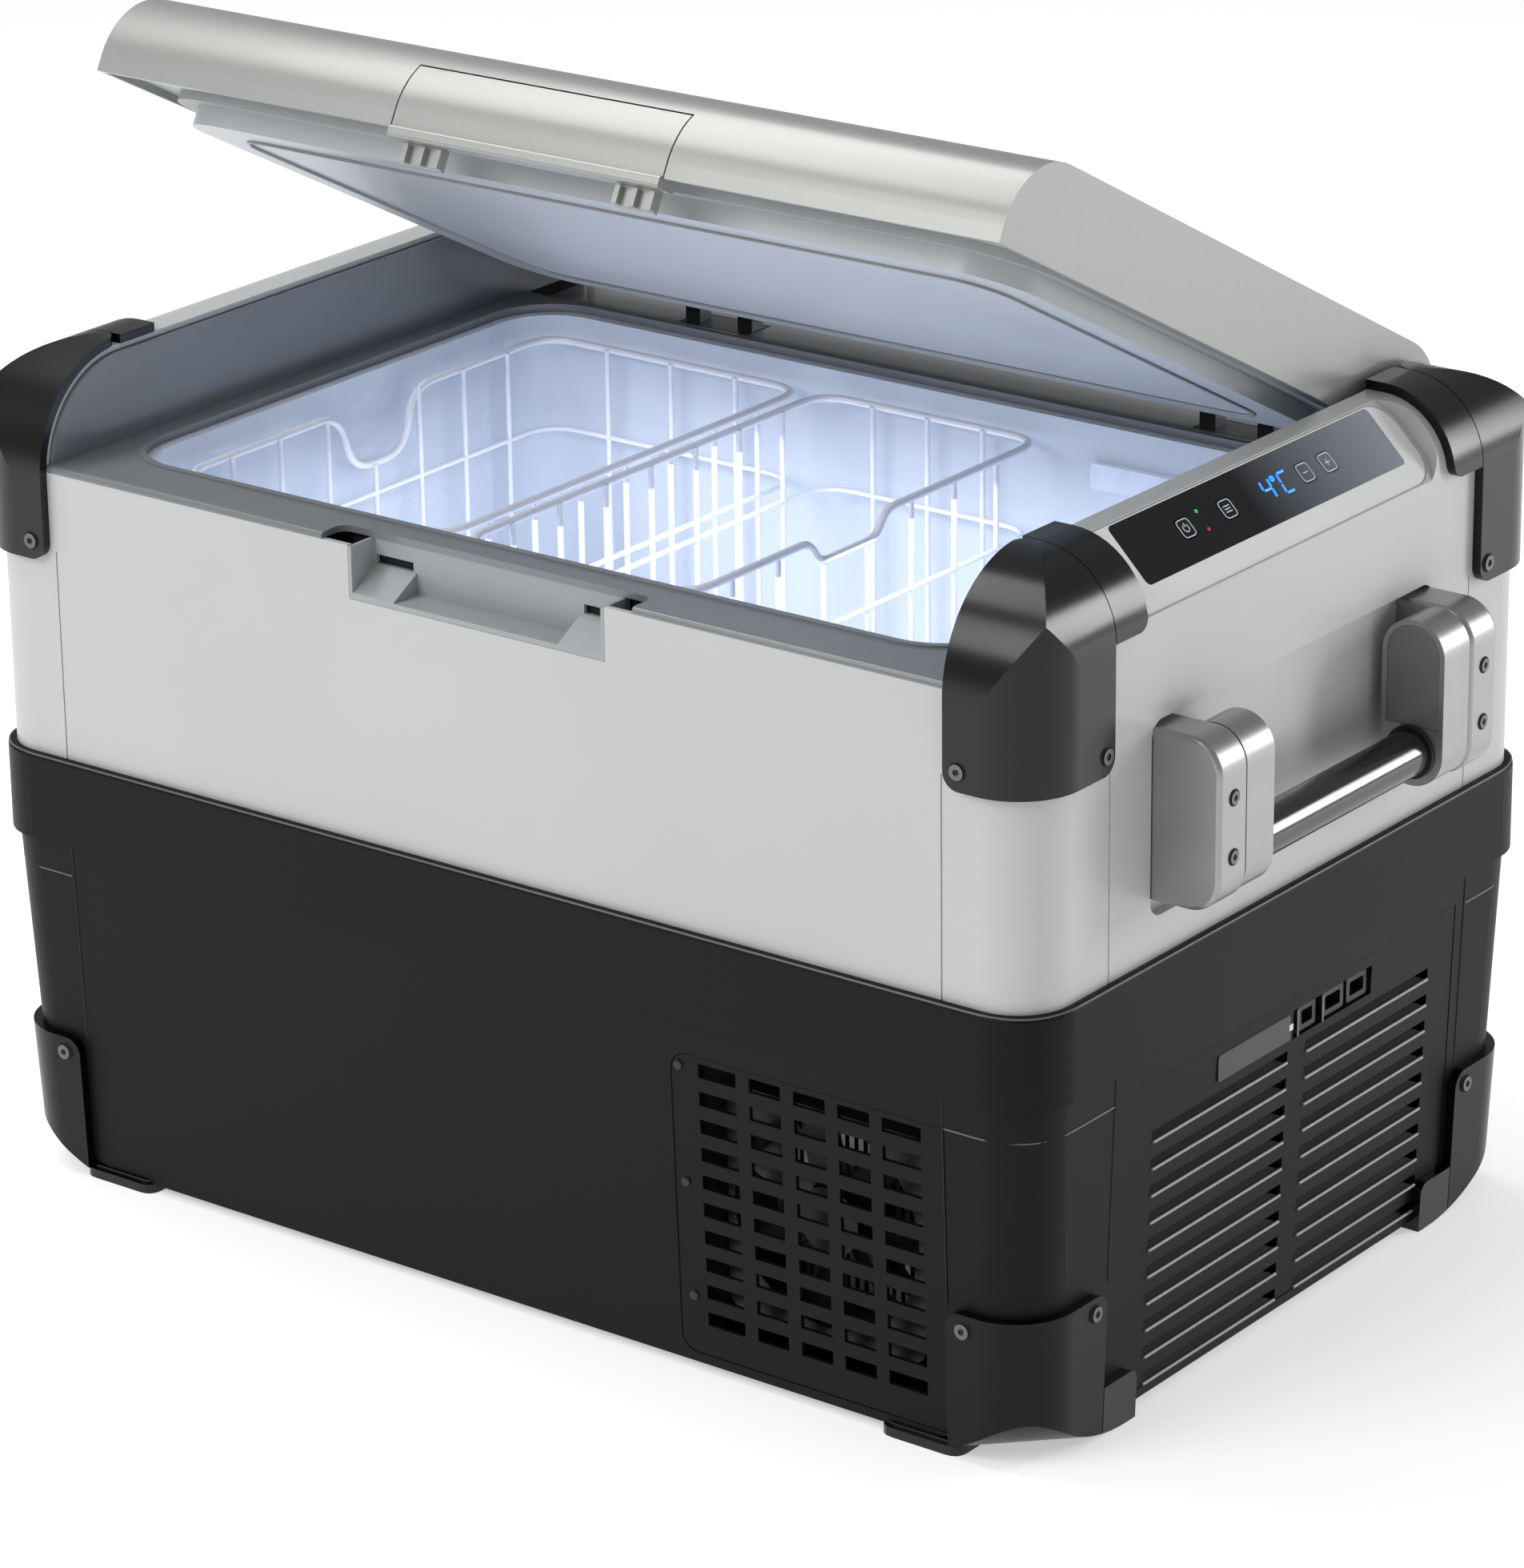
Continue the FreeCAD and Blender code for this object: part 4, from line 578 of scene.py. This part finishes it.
def key_symbol(name, y):
    """The plain symbol on a key: power ring, menu bars, minus or plus."""
    if name == "power":
        return [(arc(y, 0, 2.1, 35, 325), False), ([on_facet(y, 0.6), on_facet(y, 2.8)], False)]
    if name == "set":
        return [([on_facet(y - 2.4, rise), on_facet(y + 2.4, rise)], False) for rise in (-1.6, 0, 1.6)]
    bars = [([on_facet(y - 2, 0), on_facet(y + 2, 0)], False)]
    if name == "plus":
        bars.append(([on_facet(y, -2), on_facet(y, 2)], False))
    return bars


SEGMENTS = {"a": ((0, 2), (1, 2)), "b": ((1, 2), (1, 1)), "c": ((1, 1), (1, 0)), "d": ((0, 0), (1, 0)),
            "e": ((0, 0), (0, 1)), "f": ((0, 1), (0, 2)), "g": ((0, 1), (1, 1))}
DIGIT_WIDTH, DIGIT_HALF, DIGIT_SLANT, SEGMENT_GAP = 7, 5.5, 0.7, 0.1
FOUR, CELSIUS, FOUR_AT, CELSIUS_AT = "fgbc", "afed", 3, 18.5


def digit(letters, start):
    """Seven-segment bars; slanted a little, as on the display."""
    runs = []
    for letter in letters:
        (u0, v0), (u1, v1) = SEGMENTS[letter]
        first, last = (Vector(on_facet(start + DIGIT_WIDTH * u + DIGIT_SLANT * v, DIGIT_HALF * (v - 1),
                                       SCREEN_FACE)) for u, v in ((u0, v0), (u1, v1)))
        gap = (last - first) * SEGMENT_GAP
        runs.append(([first + gap, last - gap], False))
    return runs


def make_display():
    """Key outlines with their symbols, the temperature and two status lamps."""
    for name in KEYS:
        low, high = limits(name + "_button")
        y = (low.y + high.y) / 2
        outline = [on_facet(y + u, v) for u, v in oblong(KEY_OUTLINE, KEY_OUTLINE, 2.4)]
        wires(name + "_symbol", [(outline, True)] + key_symbol(name, y), MARK_WIDTH, name + "_key",
              "display_gloss", ICON, FACET)
    degree = (arc(14.8, 4.2, 1.1, 0, 336), True)
    reading = digit(FOUR, FOUR_AT) + [degree] + digit(CELSIUS, CELSIUS_AT)
    wires("temperature", reading, DIGIT_STROKE, "cabinet", "display_gloss", DIGITS, FACET)
    for name, rise, finish in (("status_lamp", 5.5, GREEN), ("fault_lamp", -5.1, RED)):
        place = FACET @ Matrix.Translation(on_facet(LAMP_Y, rise, SCREEN_FACE))
        turned(name, LAMP_PROFILE, [place], "cabinet", "display_gloss", finish, sides=16)


# ---------------------------------------------------------------- lid
SLOT_X, SLOT_PITCH, SLOT_Y, SLOT_Z, SLOTS = 248, 9, -405, -4, 3
BORDER_X, BORDER_FRONT, BORDER_REAR, BORDER_Z, BORDER_BEND = 236, -356, -76, -19, 26


def make_lid_details():
    """Drain slots under the lid's front corners and a raised border inside the gasket."""
    outline = oblong(7, 1.6, 0.7)
    places = [LID @ facing((0, 0, -1), (side * (SLOT_X + SLOT_PITCH * step), SLOT_Y, SLOT_Z))
              for side in SIDES for step in range(SLOTS)]
    slots = [(outline, 0, 0.5, place) for place in places]
    plates("lid_slots", slots, "lid", "frame_grey", bevel=0.1, finish=SHADOW_LINE)
    corners = [(-BORDER_X, BORDER_FRONT), (BORDER_X, BORDER_FRONT), (BORDER_X, BORDER_REAR),
               (-BORDER_X, BORDER_REAR)]
    border = rounded([(x, y, BORDER_Z) for x, y in corners], BORDER_BEND, True, 8)
    wires("lid_border", [(border, True)], 1.4, "lid", "frame_grey", place=LID)


# ---------------------------------------------------------------- studio
SKY_STRENGTH, FLOOR_GLOW, FLOOR_HALF = 0.34, 0.46, 12


def area_light(name, at, aim, size, watts, rgb=(1, 1, 1)):
    """A rectangular soft light; places and sizes are in metres."""
    data = bpy.data.lights.new(name, "AREA")
    data.shape = "RECTANGLE"
    data.size, data.size_y = size
    data.energy = watts
    data.color = rgb
    light = bpy.data.objects.new(name, data)
    bpy.context.scene.collection.objects.link(light)
    light.location = at
    light.rotation_euler = (Vector(aim) - Vector(at)).to_track_quat("-Z", "Y").to_euler()


def make_lights():
    """Even white sky, soft lights round the part and two in the well, one of them aimed at the lid."""
    scene = bpy.context.scene
    scene.view_settings.view_transform = "Standard"
    world = bpy.data.worlds.new("Studio")
    world.use_nodes = True
    sky = world.node_tree.nodes["Background"]
    sky.inputs["Color"].default_value = (1, 1, 1, 1)
    sky.inputs["Strength"].default_value = SKY_STRENGTH
    scene.world = world
    area_light("key", (-0.9, -2.6, 2.2), (0, 0, 0.3), (2.0, 1.4), 44)
    area_light("side", (2.8, -0.7, 1.6), (0.2, 0, 0.2), (1.6, 1.6), 2)
    area_light("top", (-1.3, 0.1, 2.5), (0, 0, 0.4), (2.4, 0.7), 30)
    area_light("rear_strip", (2.15, 2.4, 1.0), (0.37, 0, 0.25), (0.55, 1.3), 34)
    area_light("well", (0, -0.02, 0.372), (0, -0.02, 0.1), (0.42, 0.24), 0.62, (0.88, 0.94, 1))
    area_light("glow", (0, -0.03, 0.15), (0, -0.1, 0.6), (0.4, 0.24), 0.55)


def make_floor():
    """Plain pale paper under the part."""
    floor = bmesh.new()
    bmesh.ops.create_grid(floor, x_segments=8, y_segments=8, size=FLOOR_HALF)
    mesh = bpy.data.meshes.new("floor")
    floor.to_mesh(mesh)
    floor.free()
    paper = surface("floor", (246, 246, 247), 0.6, drift=0.01, patch=900, relief=0.01)
    shader = paper.node_tree.nodes["Principled BSDF"]
    shader.inputs["Emission Color"].default_value = (1, 1, 1, 1)
    shader.inputs["Emission Strength"].default_value = FLOOR_GLOW
    mesh.materials.append(paper)
    ground = bpy.data.objects.new("floor", mesh)
    bpy.context.scene.collection.objects.link(ground)


make_camera()
dress_cad_nodes()
basket("basket_large", "large_basket", dip_side=-1, dip_middle=-2, dip_half=22, dip_depth=34)
basket("basket_small", "small_basket", dip_side=1, dip_middle=-27, dip_half=24, dip_depth=13)
make_lower_lines()
make_band_edge()
make_louvres()
make_socket_strip()
make_screw_details()
make_base_toes()
make_handle_details()
make_display()
make_lid_details()
make_lights()
make_floor()
